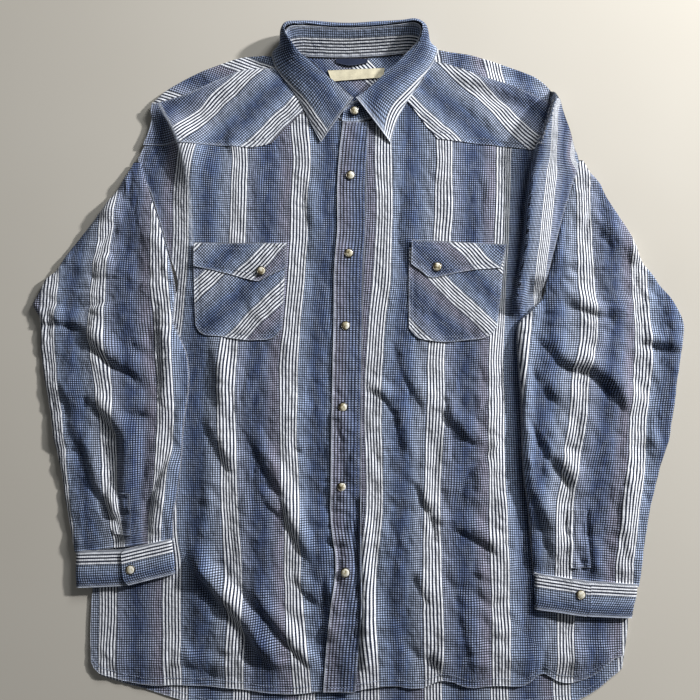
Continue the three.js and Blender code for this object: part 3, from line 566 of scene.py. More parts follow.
def front_height(x, y):
    """Height of the fronts' underside above the surface. They lie slacker below the chest than above it."""
    slack = 0.35 + 0.65 * smooth((70 - y) / 150)
    broad = 1.2 * mottle(x, y, 52, 3, 2.2) + 4.8 * slack * crumple(x, y, 38, 5, 1.7)
    small = slack * (2.5 * crumple(x, y, 16, 43) + 1.6 * crumple(x, y, 9, 47))
    small += 0.45 * mottle(x, y, 8, 7, 1.2) + 0.16 * mottle(x, y, 4.2, 9)
    loose = above_zero(0.5 + broad + small + creased(FRONT_CREASES, x, y))
    edge = np.minimum(BODY_HALF - np.abs(x), np.maximum(y - HEM_Y, 0))
    loose = loose * (0.35 + 0.65 * smooth(edge / 30))
    crest, _ = crests(x, y)
    loose = sleeve_clear(x, y) * loose * (1 - 0.6 * smooth(crest / 6))
    return FRONT_REST + np.maximum(crest, 0) + loose + creased(SHOULDER_CREASES, x, y)


def sleeve_floor(x, y):
    """Height of a sleeve's underside: on the surface outside the body and over the fronts inside it."""
    reach = np.zeros(x.shape)
    for here, armhole, seam in ((x <= 0, ARMHOLE_RIGHT, SIDE_RIGHT), (x > 0, ARMHOLE_LEFT, SIDE_LEFT)):
        edge = np.array([[py, abs(px)] for px, py in armhole + seam[1:]])
        wide = np.max([np.interp(y + dy, edge[::-1, 0], edge[::-1, 1]) for dy in (-25, 0, 25)], axis=0)
        reach = np.where(here, wide, reach)
    return OVER_FRONT * np.clip((reach - np.abs(x) + 34) / 18, 0, 1)


def sleeve_roof(x, y, creases):
    """Height of a sleeve's top, away from its rounded edges."""
    broad = 1.2 * mottle(x, y, 38, 13, 1.8) + 4.4 * crumple(x, y, 34, 15, 1.3)
    small = 2.5 * crumple(x, y, 15, 45) + 1.6 * crumple(x, y, 8.5, 49)
    small += 0.45 * mottle(x, y, 7, 17) + 0.16 * mottle(x, y, 4.2, 19)
    loose = above_zero(SLEEVE_DEPTH - 4.0 + broad + small + 1.3 * creased(creases, x, y))
    return sleeve_floor(x, y) + 1.6 + loose


# Meshes

def normals_of(points, wrap=False):
    """Unit normals of a grid of points, rows by columns."""
    down = np.gradient(points, axis=0)
    across = (np.roll(points, -1, 1) - np.roll(points, 1, 1)) / 2 if wrap else np.gradient(points, axis=1)
    n = np.cross(down, across)
    return n / np.maximum(np.linalg.norm(n, axis=2, keepdims=True), 1e-9)


def outward(points, wrap):
    """For each point of a grid, the way out of the sheet along its surface, which is zero inside it."""
    out = np.zeros(points.shape)
    out[0] += points[0] - points[1]
    out[-1] += points[-1] - points[-2]
    if not wrap:
        out[:, 0] += points[:, 0] - points[:, 1]
        out[:, -1] += points[:, -1] - points[:, -2]
    return out / np.maximum(np.linalg.norm(out, axis=2, keepdims=True), 1e-9)


def mesh_object(name, vertices, faces, uv, wear_and_highlight, material):
    """A smooth mesh from arrays, with a UV map and for each vertex a value that lightens the cloth: wear at
    edges, and a painted highlight along the right crest. Points are in mm.
    """
    mesh = bpy.data.meshes.new(name)
    count = len(faces)
    mesh.vertices.add(len(vertices))
    mesh.vertices.foreach_set("co", (vertices * MM).astype(np.float32).ravel())
    mesh.loops.add(count * 4)
    mesh.loops.foreach_set("vertex_index", faces.astype(np.int32).ravel())
    mesh.polygons.add(count)
    mesh.polygons.foreach_set("loop_start", np.arange(0, count * 4, 4, dtype=np.int32))
    mesh.polygons.foreach_set("loop_total", np.full(count, 4, np.int32))
    mesh.update(calc_edges=True)
    mesh.polygons.foreach_set("use_smooth", np.ones(count, bool))
    layer = mesh.uv_layers.new(name="cloth")
    layer.data.foreach_set("uv", (uv * MM).astype(np.float32).ravel())
    attribute = mesh.attributes.new("wear_and_highlight", "FLOAT", "POINT")
    attribute.data.foreach_set("value", wear_and_highlight.astype(np.float32))
    mesh.validate()
    obj = bpy.data.objects.new(name, mesh)
    bpy.context.scene.collection.objects.link(obj)
    obj.data.materials.append(material)
    return obj


# How far a shell's rim stands out, as a share of its thickness
RIM_OUT = 0.4


def shell(name, points, uv, thickness, material, wear_and_highlight=None, wrap=False):
    """A closed thin shell round a grid of middle points. Where it wraps, uv has one column more than points.

    Its vertices are the upper layer, the lower layer and, a little outside them, the rim.
    """
    m, n = points.shape[:2]
    normal, out = normals_of(points, wrap), outward(points, wrap)
    half = normal * thickness / 2
    layers = [points + half, points - half, points + out * thickness * RIM_OUT]
    vertices = np.concatenate([p.reshape(-1, 3) for p in layers])
    wear_and_highlight = np.zeros((m, n)) if wear_and_highlight is None else wear_and_highlight
    columns = n if wrap else n - 1
    r, c = np.meshgrid(np.arange(m - 1), np.arange(columns), indexing="ij")
    r, c = r.ravel(), c.ravel()
    upper = np.stack([[r, c], [r + 1, c], [r + 1, c + 1], [r, c + 1]], 0)
    cells = [(0, upper), (1, upper[::-1])]

    def rim(row, col, forward):
        """Faces from the upper layer to the rim and on to the lower one, along one edge."""
        a = np.stack([row[:-1], col[:-1]])
        b = np.stack([row[1:], col[1:]])
        first, second = (a, b) if forward else (b, a)
        around = (second, first, first, second)
        return [((0, 0, 2, 2), around), ((2, 2, 1, 1), around)]

    span, height = np.arange(columns + 1), np.arange(m)
    rims = rim(np.zeros(len(span), int), span, True) + rim(np.full(len(span), m - 1), span, False)
    if not wrap:
        rims += rim(height, np.zeros(m, int), False) + rim(height, np.full(m, n - 1), True)
    faces, coords = [], []
    for layer, quad in cells:
        faces.append((layer * m * n + quad[:, 0] * n + quad[:, 1] % n).T)
        coords.append((quad[:, 0] * uv.shape[1] + quad[:, 1]).T)
    for layer, corner in rims:
        faces.append(np.stack([k * m * n + q[0] * n + q[1] % n for k, q in zip(layer, corner)], 1))
        coords.append(np.stack([q[0] * uv.shape[1] + q[1] for q in corner], 1))
    faces, coords = np.concatenate(faces), np.concatenate(coords)
    used, renumbered = np.unique(faces, return_inverse=True)
    worn_and_highlight = np.tile(wear_and_highlight.ravel(), 3)[used]
    corners = uv.reshape(-1, 2)[coords.ravel()]
    return mesh_object(name, vertices[used], renumbered.reshape(-1, 4), corners, worn_and_highlight, material)


def dress(piece, node, slot):
    """Lets a piece ride with the shirt in place of its CAD node, if it has one."""
    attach(piece, "root")
    if node:
        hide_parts(node)


# Stripes

def across_groups(table, x, y):
    """Distance across the stripes, from where the groups of lines run."""
    groups = [column(table, y, k) for k in range(1, len(table[0]))]
    u = x - groups[0]
    for k, (a, b) in enumerate(zip(groups[:-1], groups[1:])):
        u = np.where(x > a, (k + np.clip((x - a) / (b - a), 0, 1)) * REPEAT, u)
    return np.where(x > groups[-1], (len(groups) - 1) * REPEAT + x - groups[-1], u)


def straight_grain(table, creases=()):
    """The cloth's own coordinates where it's cut along the stripes."""
    def coords(x, y):
        wave = 1.4 * mottle(x, y, 24, 23, 2) + 1.0 * mottle(x, y, 50, 25, 2)
        flat = np.stack([across_groups(table, x, y) + wave, y + 1.2 * mottle(x, y, 40, 27)], -1)
        return flat + tucked(creases, x, y)
    return coords


def bias_grain(angle, centre, scale=1):
    """The cloth's own coordinates where it's cut on the bias, with its stripes at an angle."""
    c, s = math.cos(math.radians(angle)), math.sin(math.radians(angle))

    def coords(x, y):
        bend = 1.6 * mottle(x, y, 38, 31) + 0.8 * mottle(x, y, 18, 33)
        return np.stack([(-s * x + c * y - centre) * scale + bend, c * x + s * y], -1)
    return coords


def falling_grain(x, y):
    """The cloth's own coordinates beyond the left crest, where its steep fall packs the lines closer."""
    packed = 1.75 + 1.4 * smooth((y - 222) / 26)
    u = 3 * REPEAT + (x - column(STRIPES_FRONT_LEFT, y, 4)) * packed + 0.8 * mottle(x, y, 20, 29)
    return np.stack([u, y], -1)


def past_crest(grain, crest, side, beyond):
    """A panel's grain, and past its crest the grain of the cloth that falls away there."""
    def coords(x, y):
        past = side * (x - column(crest, y)) > 0
        return np.where(past[..., None], beyond(x, y), grain(x, y))
    return coords


# Materials

def linear(red, green, blue):
    """A colour read off as 0 to 255 on a screen, as linear light."""
    light = [((v / 255 + 0.055) / 1.055) ** 2.4 if v > 10 else v / 255 / 12.92 for v in (red, green, blue)]
    return light + [1]


WHITE_LINE = linear(243, 245, 248)
LINE_GAP = linear(32, 38, 56)
LIGHT_FLECK = linear(172, 184, 206)
# Light colour that the wear value mixes in: worn edges, and a painted highlight along the right crest's fold
WORN_AND_HIGHLIGHT = linear(210, 215, 224)
# Ground colours, as (mm from a group's middle, colour), for the two versions of a repeat
GROUND_LIGHT = [
    (0, (122, 131, 149)), (11, (138, 149, 168)), (18, (119, 132, 156)), (25, (82, 96, 124)),
    (31, (47, 61, 90)), (36, (53, 68, 99)), (43, (86, 101, 130)), (50, (119, 130, 150)),
    (57, (138, 145, 160)), (65, (122, 130, 146)),
]
GROUND_DARK = [
    (0, (111, 116, 133)), (11, (134, 140, 156)), (19, (113, 121, 142)), (27, (73, 86, 115)),
    (33, (44, 57, 86)), (38, (52, 65, 96)), (45, (89, 100, 126)), (52, (113, 114, 131)),
    (59, (122, 119, 132)), (66, (114, 115, 129)),
]
# Noise over the cloth, as (cells per mm across the stripes, cells per mm along them, detail)
WAVER = (0.05, 0.05, 3.0)
WARP_STREAKS = (0.8, 0.02, 2.0)
WEFT_STREAKS = (0.03, 0.9, 2.0)
FADING = (0.016, 0.011, 3.0)
PATCHES = (0.11, 0.05, 2.0)
SLUB = (0.6, 0.6, 3.0)
CRINKLE = (0.2, 0.14, 2.0)
CLOUDS = (0.12, 0.12, 4.0)


class Nodes:
    """Short ways to add nodes to a material."""

    def __init__(self, name):
        self.material = bpy.data.materials.new(name)
        self.material.use_nodes = True
        self.tree = self.material.node_tree
        self.shader = self.tree.nodes["Principled BSDF"]

    def add(self, kind, values=(), **settings):
        """Adds a node. Its first inputs take the values, which are plain or other nodes' outputs."""
        node = self.tree.nodes.new("ShaderNode" + kind)
        for key, value in settings.items():
            setattr(node, key, value)
        for value, socket in zip(values, node.inputs):
            self.link(value, socket)
        return node

    def fed(self, kind, **values):
        """Adds a node with values for its inputs, by their names."""
        node = self.add(kind)
        for key, value in values.items():
            self.link(value, node.inputs[key])
        return node

    def link(self, value, socket):
        if isinstance(value, bpy.types.NodeSocket):
            self.tree.links.new(value, socket)
        else:
            socket.default_value = value

    def math(self, operation, a, b=0.0, c=0.0):
        return self.add("Math", (a, b, c), operation=operation).outputs[0]

    def plus(self, a, b):
        return self.math("ADD", a, b)

    def times(self, a, b):
        return self.math("MULTIPLY", a, b)

    def swing(self, value, noise, amount):
        """A value with a noise from 0 to 1 added to it, so that half the amount goes either way."""
        return self.plus(value, self.times(self.math("SUBTRACT", noise, 0.5), amount))

    def between(self, value, low, high, to_low=0.0, to_high=1.0):
        """Eases from one result to the other while the value goes from low to high."""
        values = (value, low, high, to_low, to_high)
        return self.add("MapRange", values, interpolation_type="SMOOTHSTEP").outputs[0]

    def mix(self, share, a, b, blend="MIX"):
        node = self.add("Mix", data_type="RGBA", blend_type=blend)
        for value, key in ((share, "Factor"), (a, 6), (b, 7)):
            self.link(value, node.inputs[key])
        return node.outputs[2]

    def shaded(self, colour, shade):
        """A colour multiplied by a shade."""
        return self.mix(1.0, colour, self.add("CombineXYZ", (shade, shade, shade)).outputs[0], "MULTIPLY")

    def ramp(self, value, stops):
        node = self.add("ValToRGB", (value,))
        elements = node.color_ramp.elements
        for place, colour in stops[2:]:
            elements.new(place)
        for element, (place, colour) in zip(elements, stops):
            element.position = place
            element.color = colour
        return node.outputs[0]

    def noise(self, vector, scale, detail=2.0, roughness=0.5):
        node = self.fed("TexNoise", Vector=vector, Scale=scale, Detail=detail, Roughness=roughness)
        return node.outputs["Fac"]

    def weave_place(self):
        """The cloth's own coordinates in mm, across the stripes and along them."""
        split = self.add("SeparateXYZ", (self.add("UVMap", uv_map="cloth").outputs[0],))
        return [self.math("DIVIDE", way, MM) for way in split.outputs[:2]]

    def weave_noise(self, u, v, scale_u, scale_v, detail):
        place = self.add("CombineXYZ", (self.times(u, scale_u), self.times(v, scale_v), 0.0)).outputs[0]
        return self.noise(place, 1.0, detail)

    def wave(self, way, pitch):
        return self.math("COSINE", self.times(way, 2 * math.pi / pitch))

    def place(self, output="Object"):
        return self.add("TexCoord").outputs[output]

    def bump(self, height, distance, strength=1.0):
        node = self.fed("Bump", Height=height, Distance=distance, Strength=strength)
        self.link(node.outputs[0], self.shader.inputs["Normal"])

    def settle(self, **values):
        """Sets inputs of the shader, with underscores for the spaces in their names."""
        for key, value in values.items():
            self.link(value, self.shader.inputs[key.replace("_", " ")])
        return self.material


def striped_cloth():
    """Shaded stripes under a fine check, with groups of white lines, streaks, faded patches, wear at edges
    and a painted highlight along the right crest.
    """
    n = Nodes("striped_cloth")
    u, v = n.weave_place()
    u = n.swing(u, n.weave_noise(u, v, *WAVER), 0.9)
    stops = [(d / (2 * REPEAT), linear(*colour)) for d, colour in GROUND_LIGHT]
    stops += [((d + REPEAT) / (2 * REPEAT), linear(*colour)) for d, colour in GROUND_DARK]
    ground = n.ramp(n.math("FRACT", n.math("DIVIDE", u, 2 * REPEAT)), stops)

    warp_streaks = n.weave_noise(u, v, *WARP_STREAKS)
    weft_streaks = n.weave_noise(u, v, *WEFT_STREAKS)
    patches = n.weave_noise(u, v, *PATCHES)
    warp, weft = [n.between(n.wave(way, CHECK_PITCH), -0.6, 0.6, -1.0, 1.0) for way in (u, v)]
    contrast = n.between(patches, 0.3, 0.7, 0.62, 0.88)
    check = n.times(*[n.plus(n.times(way, contrast), 1.0) for way in (warp, weft)])
    streaks = n.swing(n.swing(1.0, warp_streaks, 1.5), weft_streaks, 1.1)
    streaks = n.swing(streaks, n.weave_noise(u, v, *FADING), 0.7)
    ground = n.shaded(ground, n.math("MAXIMUM", n.times(check, streaks), 0.05))
    flecks = n.times(n.between(check, 1.5, 2.4), n.between(patches, 0.35, 0.65, 0.2, 0.72))
    ground = n.mix(flecks, ground, LIGHT_FLECK)

    beside_group = n.math("SUBTRACT", n.math("FRACT", n.plus(n.math("DIVIDE", u, REPEAT), 0.5)), 0.5)
    distance = n.times(beside_group, REPEAT)
    half = LINES * LINE_PITCH / 2
    in_group = n.between(n.math("ABSOLUTE", distance), half - 0.2, half + 0.3, 1.0, 0.0)
    line = n.between(n.wave(n.plus(distance, LINE_PITCH / 2), LINE_PITCH), -0.15, 0.3)
    gap = n.shaded(LINE_GAP, n.plus(n.times(weft, 0.7), 1.05))
    white = n.shaded(WHITE_LINE, n.plus(n.times(weft, 0.08), n.between(weft_streaks, 0.2, 0.8, 0.9, 1.1)))
    colour = n.mix(in_group, ground, n.mix(line, gap, white))

    # The wear value lightens worn edges and, along the right crest, paints a highlight where the fold catches
    # the light
    wear_and_highlight = n.add("Attribute", attribute_name="wear_and_highlight").outputs["Fac"]
    worn_and_highlight = n.times(wear_and_highlight, n.between(warp_streaks, 0.3, 0.7, 0.45, 0.9))
    threads = n.plus(n.times(warp, 0.5), n.times(weft, 0.5))
    slub = n.times(n.weave_noise(u, v, *SLUB), 2.0)
    crinkle = n.times(n.weave_noise(u, v, *CRINKLE), 15.0)
    n.bump(n.plus(threads, n.plus(slub, crinkle)), 0.0001, 0.75)
    return n.settle(
        Base_Color=n.mix(worn_and_highlight, colour, WORN_AND_HIGHLIGHT), Roughness=0.88, Specular_IOR_Level=0.2, Sheen_Weight=0.12,
        Sheen_Roughness=0.5,
    )


def plain_weave(name, colour, pitch, contrast):
    """Plain woven tape: fine threads both ways and a little unevenness."""
    n = Nodes(name)
    u, v = n.weave_place()
    threads = n.plus(n.wave(u, pitch), n.wave(v, pitch))
    cloudy = n.between(n.weave_noise(u, v, *CLOUDS), 0.25, 0.75, 0.84, 1.08)
    n.bump(threads, 0.00008, 0.6)
    shaded = n.shaded(linear(*colour), n.plus(n.times(threads, contrast), cloudy))
    return n.settle(Base_Color=shaded, Roughness=0.85, Specular_IOR_Level=0.25, Sheen_Weight=0.1)


def thread():
    n = Nodes("stitch_thread")
    colour = n.mix(n.noise(n.place(), 900.0), linear(120, 132, 158), linear(176, 185, 200))
    return n.settle(Base_Color=colour, Roughness=0.6, Sheen_Weight=0.2)


def pearl():
    """Marbled pearl: cream with olive-brown clouds, and a painted highlight: lighter where its face turns to
    +X, towards the key light, and darker on the other side.
    """
    n = Nodes("pearl_cap")
    place = n.place()
    clouds = n.noise(place, 150.0, 4.0, 0.55)
    veins = n.noise(place, 420.0, 3.0, 0.6)
    # Painted highlight and shade: the cap is lighter where its face turns towards the key light on the +X
    # side
    lit_side = n.add("SeparateXYZ", (n.place("Normal"),)).outputs[0]
    blend = n.plus(n.plus(n.times(clouds, 0.7), n.times(veins, 0.3)), n.times(lit_side, 0.22))
    shades = ((0.33, (52, 44, 30)), (0.42, (120, 106, 76)), (0.5, (206, 196, 164)), (0.6, (246, 243, 230)))
    colour = n.ramp(blend, [(place, linear(*shade)) for place, shade in shades])
    n.bump(clouds, 0.0001, 0.3)
    return n.settle(
        Base_Color=colour, Roughness=0.22, Coat_Weight=0.6, Coat_Roughness=0.08, Specular_IOR_Level=0.6,
    )


def rolled_metal():
    """Thin rolled metal, grey and tarnished in patches."""
    n = Nodes("snap_metal")
    tarnish = n.noise(n.place(), 260.0, 4.0)
    colour = n.mix(n.between(tarnish, 0.35, 0.7), linear(118, 113, 104), linear(46, 42, 38))
    n.bump(tarnish, 0.00008, 0.3)
    return n.settle(Base_Color=colour, Roughness=n.between(tarnish, 0.3, 0.7, 0.28, 0.5), Metallic=1.0)


def pale_floor():
    n = Nodes("pale_floor")
    colour = n.mix(n.noise(n.place(), 3.0, 3.0), linear(196, 189, 175), linear(206, 200, 187))
    return n.settle(Base_Color=colour, Roughness=0.9, Specular_IOR_Level=0.2)


STRIPED = striped_cloth()
LABEL_CLOTH = plain_weave("label_weave", (226, 216, 184), 0.9, 0.03)
LOOP_CLOTH = plain_weave("loop_weave", (36, 44, 68), 1.2, 0.08)
THREAD = thread()
PEARL = pearl()
METAL = rolled_metal()


# Stitches: little spindles of thread, laid along rows

STITCH = 2.4
STITCH_PITCH = 3.3
THREAD_RADIUS = 0.28
STITCH_SIDES = 4
# The rings of a spindle, as (share of its length from its middle, share of its radius)
SPINDLE = [(-0.5, 0.35), (-0.3, 1.0), (0.3, 1.0), (0.5, 0.35)]
# Height of the stitches over the cloth's upper face
STITCH_LIFT = 0.12


def stitch_rows(name, rows):
    """One mesh of all stitches along rows of (points, normals), each stitch a short spindle of thread."""
    spots, ways, ups = [], [], []
    for points, normals in rows:
        s = chord(points)
        count = int(s[-1] / STITCH_PITCH)
        if count < 1:
            continue
        at = (np.arange(count) + 0.5) * s[-1] / count
        place = lambda values, where: np.stack([np.interp(where, s, values[:, k]) for k in range(3)], 1)
        spots.append(place(points, at))
        ways.append(place(points, at + 0.5) - place(points, at - 0.5))
        ups.append(place(normals, at))
    spots, ways, ups = np.concatenate(spots), np.concatenate(ways), np.concatenate(ups)
    ways /= np.linalg.norm(ways, axis=1, keepdims=True)
    sides = np.cross(ways, ups)
    sides /= np.linalg.norm(sides, axis=1, keepdims=True)
    ups = np.cross(sides, ways)
    turn = np.arange(STITCH_SIDES) * 2 * math.pi / STITCH_SIDES
    vertices = []
    for reach, thick in SPINDLE:
        sink = THREAD_RADIUS * (1 - thick) * 1.2
        for a in turn:
            ring = sides * math.cos(a) + ups * math.sin(a)
            vertices.append(spots + ways * reach * STITCH + ring * THREAD_RADIUS * thick - ups * sink)
    vertices = np.stack(vertices, 1)
    k = STITCH_SIDES
    ring = np.array([[i, (i + 1) % k, k + (i + 1) % k, k + i] for i in range(k)])
    ends = [[3, 2, 1, 0], [3 * k, 3 * k + 1, 3 * k + 2, 3 * k + 3]]
    quads = np.concatenate([ring, ring + k, ring + 2 * k, ends])
    start = np.arange(len(spots))[:, None, None] * vertices.shape[1]
    faces = (quads[None] + start).reshape(-1, 4)
    flat = vertices.reshape(-1, 3)
    piece = mesh_object(name, flat, faces, flat[faces.ravel()][:, :2], np.zeros(len(flat)), THREAD)
    dress(piece, None, "shirt_cloth")


def row_of(grid, inset, edge):
    """The points and normals of a line of a grid's upper face that runs along one of its edges."""
    pick = {
        "top": np.s_[inset, 5:-5], "bottom": np.s_[-1 - inset, 5:-5],
        "left": np.s_[5:-5, inset], "right": np.s_[5:-5, -1 - inset],
    }[edge]
    return [values[pick] for values in grid]


# Sewn panels

# The groove that a row of stitches presses in: its distance from the edge, half-width and depth
GROOVE_AT = 5.2
GROOVE_WIDTH = 0.9
GROOVE_DEPTH = 0.25
# Distance of the hem's stitches from its edge
HEM_STITCHES = 7.4
# The pucker along an edge: its pitch, height and how far in it reaches
PUCKER_PITCH = 11
PUCKER = 0.16
PUCKER_REACH = 5
# Upper faces of the panels, as (points, normals) by name, for the stitches
PANELS = {}


def ridge(distance, width):
    return np.exp(-((distance / width) ** 2))


def panel(
    name, edges, level, grain, step=3.0, slot="shirt_cloth", height=None, thick=CLOTH, puff=0.5,
    edge_wear=1.0,
):
    """A panel over the fronts' height, or another height: level counts the layers of cloth below it."""
    left, right, top, bottom = [e if isinstance(e, np.ndarray) else joined(e) for e in edges]
    flat = patch(left, right, top, bottom, step)
    x, y = flat[..., 0], flat[..., 1]
    outline = np.concatenate([top, right[1:], bottom[::-1][1:], left[::-1][1:]])
    inside, where = beside(outline, x, y)
    inside = np.abs(inside)
    pucker = np.sin(where * 2 * math.pi / PUCKER_PITCH + 3 * mottle(x, y, 30, 41))
    pucker = pucker * np.exp(-inside / PUCKER_REACH)
    groove = ridge(inside - GROOVE_AT, GROOVE_WIDTH)
    relief = puff * smooth(inside / 14) - GROOVE_DEPTH * groove + PUCKER * pucker * smooth(inside / 1.5)
    # Beyond the crest the left yoke goes on as the cloth that falls away there, close to the front
    fallen = smooth((x - column(CREST_LEFT, y)) / 8) if name == "yoke_left" else 0
    z = (height or front_height)(x, y) + level * PLY * (1 - 0.86 * fallen) + thick / 2 + relief
    lean = crests(x, y)[1] if height is None else 0
    points = np.stack([x + lean, y, z], -1)
    wear_and_highlight = np.exp(-inside / 0.9) * 0.6 * edge_wear * (1 - fallen)
    if name == "placket":
        wear_and_highlight = np.maximum(wear_and_highlight, ridge(x - np.interp(y, *left[::-1, ::-1].T), 1.4))
    # A painted highlight along the right crest, where the fold catches the light, is added to the edge wear
    if name in ("front_right", "yoke_right", "pocket_right"):
        wear_and_highlight = np.maximum(wear_and_highlight, ridge(x - column(CREST_RIGHT, y), 1.3) * smooth((y - 90) / 60))
    piece = shell("cloth_" + name, points, grain(x, y), thick, STRIPED, wear_and_highlight)
    dress(piece, name, slot)
    normals = normals_of(points)
    PANELS[name] = (points + normals * (thick / 2 + STITCH_LIFT), normals)


def centre_line(shift, start):
    line = joined([[right - PLACKET_LAP + shift, y] for y, _, right in PLACKET])
    line[0] = start
    return line


def beyond_left_crest(grain):
    def coords(x, y):
        return np.where((y > SLEEVES_TOP)[..., None], falling_grain(x, y), grain(x, y))
    return coords


def placket_grain(x, y):
    """The placket lies in one shaded stripe, pale at its left edge and navy at its right, without lines."""
    return np.stack([REPEAT + 60 - (x - column(PLACKET, y)) * 0.7, y], -1)


def body():
    grain_right = straight_grain(STRIPES_FRONT_RIGHT, FRONT_CREASES)
    grain_left = straight_grain(STRIPES_FRONT_LEFT, FRONT_CREASES)
    panel(
        "front_right",
        (
            joined(ARMHOLE_RIGHT, SIDE_RIGHT), centre_line(-0.5, NECK_RIGHT[-1]),
            joined(SHOULDER_SEAM_RIGHT, NECK_RIGHT), FRONT_HEM_RIGHT,
        ),
        0, grain_right, step=2.6,
    )
    panel(
        "front_left",
        (
            centre_line(0, NECK_LEFT[0]), joined(ARMHOLE_LEFT, SIDE_LEFT),
            joined(NECK_LEFT, SHOULDER_SEAM_LEFT), FRONT_HEM_LEFT,
        ),
        0, past_crest(grain_left, CREST_LEFT, 1, beyond_left_crest(grain_left)), step=2.6,
    )
    yoke_right = (
        [[-253, 311], [-254, 286], [-262, 262]], NECK_RIGHT[:6],
        [[x, y - 0.5] for x, y in SHOULDER_SEAM_RIGHT], joined(*YOKE_EDGE_RIGHT),
    )
    yoke_left = (
        NECK_LEFT[::-1][:6], [[247, 311], [250, 291], [263, 252]],
        [[x, y - 0.5] for x, y in SHOULDER_SEAM_LEFT], joined(*YOKE_EDGE_LEFT),
    )
    bias = {"slot": "bias_cloth"}
    yoke_grain_right = past_crest(bias_grain(45, 274.7, 1.03), CREST_RIGHT, -1, grain_right)
    yoke_grain_left = past_crest(bias_grain(-45, 268, 1.03), CREST_LEFT, 1, falling_grain)
    panel("yoke_right", yoke_right, 1, yoke_grain_right, **bias)
    panel("yoke_left", yoke_left, 1, yoke_grain_left, **bias)
    placket = (
        [[left, y] for y, left, _ in PLACKET], [[right, y] for y, _, right in PLACKET],
        [[-18, 291], [13, 291]], [[-40, -383], [-4, -383]],
    )
    panel("placket", placket, 2.0, placket_grain, step=2.6)
    panel("pocket_right", POCKET_RIGHT, 1.4, bias_grain(45, 121.5), step=2.6, puff=1.0, **bias)
    panel("pocket_left", POCKET_LEFT, 1.4, bias_grain(-45, 136.5, 1.1), step=2.6, puff=1.0, **bias)
    panel("flap_right", FLAP_RIGHT, 2.9, bias_grain(45, 167.6), step=2.4, **bias)
    panel("flap_left", FLAP_LEFT, 2.9, bias_grain(-45, 187.4), step=2.4, **bias)


def tail_height(x, y):
    """The back lies flat on the surface, and its tail lifts a little where it shows below the fronts."""
    return smooth((-384 - y) / 12) * above_zero(0.6 + 1.0 * mottle(x, y, 30, 51) + 0.5 * mottle(x, y, 14, 53))


def back():
    start_right, start_left = [-265, 238], [265, 238]
    edges = (
        joined([start_right] + [p for p in ARMHOLE_RIGHT if p[1] < 240], SIDE_RIGHT[:-1] + [[-306, -352]]),
        joined([start_left] + [p for p in ARMHOLE_LEFT if p[1] < 240], SIDE_LEFT[:-1] + [[307, -343]]),
        [start_right, start_left], BACK_TAIL,
    )
    grain = straight_grain([[248, -62, 12], [-379, -60, 14]])
    panel("back", edges, 0, grain, step=6.0, height=tail_height, puff=0.1)


def back_yoke():
    """Flat inside the neck, rolled over both shoulders and brought forward to the shoulder seams."""
    seam_right, seam_left = [-265.5, BACK_YOKE_SEAM_Y], [265.5, BACK_YOKE_SEAM_Y]
    inside = patch(
        joined([[-253, 313], [-254, 286], [-261, 261], [-267.5, 246], seam_right]),
        joined([[247, 313], [250, 291], [259, 259], [266.5, 246], seam_left]),
        joined(
            SHOULDER_FOLD_RIGHT, [SHOULDER_FOLD_RIGHT[-1], BACK_NECK[0]], BACK_NECK,
            [BACK_NECK[-1], SHOULDER_FOLD_LEFT[0]], SHOULDER_FOLD_LEFT,
        ),
        joined([seam_right, seam_left]),
        4.0,
    )
    x, y = inside[..., 0], inside[..., 1]
    points = np.stack([x, y, 0.5 + 0.12 * (1 + mottle(x, y, 14, 61))], -1)
    flat_part = shell("cloth_back_yoke", points, bias_grain(-45, 262.3)(x, y), CLOTH, STRIPED)
    strips = [
        flat_part,
        shoulder("right", SHOULDER_FOLD_RIGHT, SHOULDER_SEAM_RIGHT, bias_grain(-18, 303.8)),
        shoulder("left", SHOULDER_FOLD_LEFT, SHOULDER_SEAM_LEFT, bias_grain(-80, 228.7)),
    ]
    with bpy.context.temp_override(active_object=flat_part, selected_editable_objects=strips):
        bpy.ops.object.join()
    dress(flat_part, "back_yoke", "bias_cloth")


# Height of a shoulder strip's lower layer, and how far in from the fold it is rolled
STRIP_LOW = 1.9
STRIP_ROLL = 4.0


def shoulder(side, fold, seam, grain):
    """The strip of the back yoke in front of a shoulder fold, from below, over the roll and to the seam."""
    shares = np.linspace(0, 1, 64)
    outer, inner = along(fold, shares), along(seam, shares)
    width = np.linalg.norm(outer - inner, axis=1, keepdims=True)
    rows = [(np.minimum(depth, width * 0.5), True) for depth in (STRIP_ROLL, 2.4, 1.0, 0.25)]
    rows.append((0 * width, False))
    over = (0.01, 0.05, 0.12, 0.2, 0.3, 0.42, 0.55, 0.7, 0.85, 0.96, 1.04)
    rows += [(width * share, False) for share in over]
    lines = []
    for depth, below in rows:
        flat = outer + (inner - outer) * depth / width
        x, y = flat[:, 0], flat[:, 1]
        top = front_height(x, y) + CLOTH / 2 + 0.25
        middle = (top + STRIP_LOW) / 2
        rolled = np.sqrt(np.clip(1 - (1 - np.clip(depth[:, 0] / STRIP_ROLL, 0, 1)) ** 2, 0, 1))
        z = middle + ((STRIP_LOW if below else top) - middle) * rolled
        lines.append(np.stack([x + crests(x, y)[1], y, z], 1))
    points = np.stack(lines)
    return shell("shoulder_" + side, points, grain(points[..., 0], points[..., 1]), CLOTH, STRIPED)


# Sleeves

# Rows down a sleeve, columns over its top and below it, and the width over which its edges are rounded
SLEEVE_ROWS = 150
SLEEVE_TOP = 64
SLEEVE_BELOW = 34
SLEEVE_EDGE = 7.0


def across_tube(count_top, count_bottom):
    """Shares across a flattened tube, first over its top from the outer edge in, then back below."""
    ease = lambda t: 0.5 - 0.5 * np.cos(math.pi * t)
    blend = lambda t: 0.55 * ease(t) + 0.45 * t
    top = blend(np.linspace(0, 1, count_top + 1))[:-1]
    bottom = blend(np.linspace(1, 0, count_bottom + 1))[:-1]
    return np.concatenate([top, bottom]), np.concatenate([np.ones(count_top), -np.ones(count_bottom)])


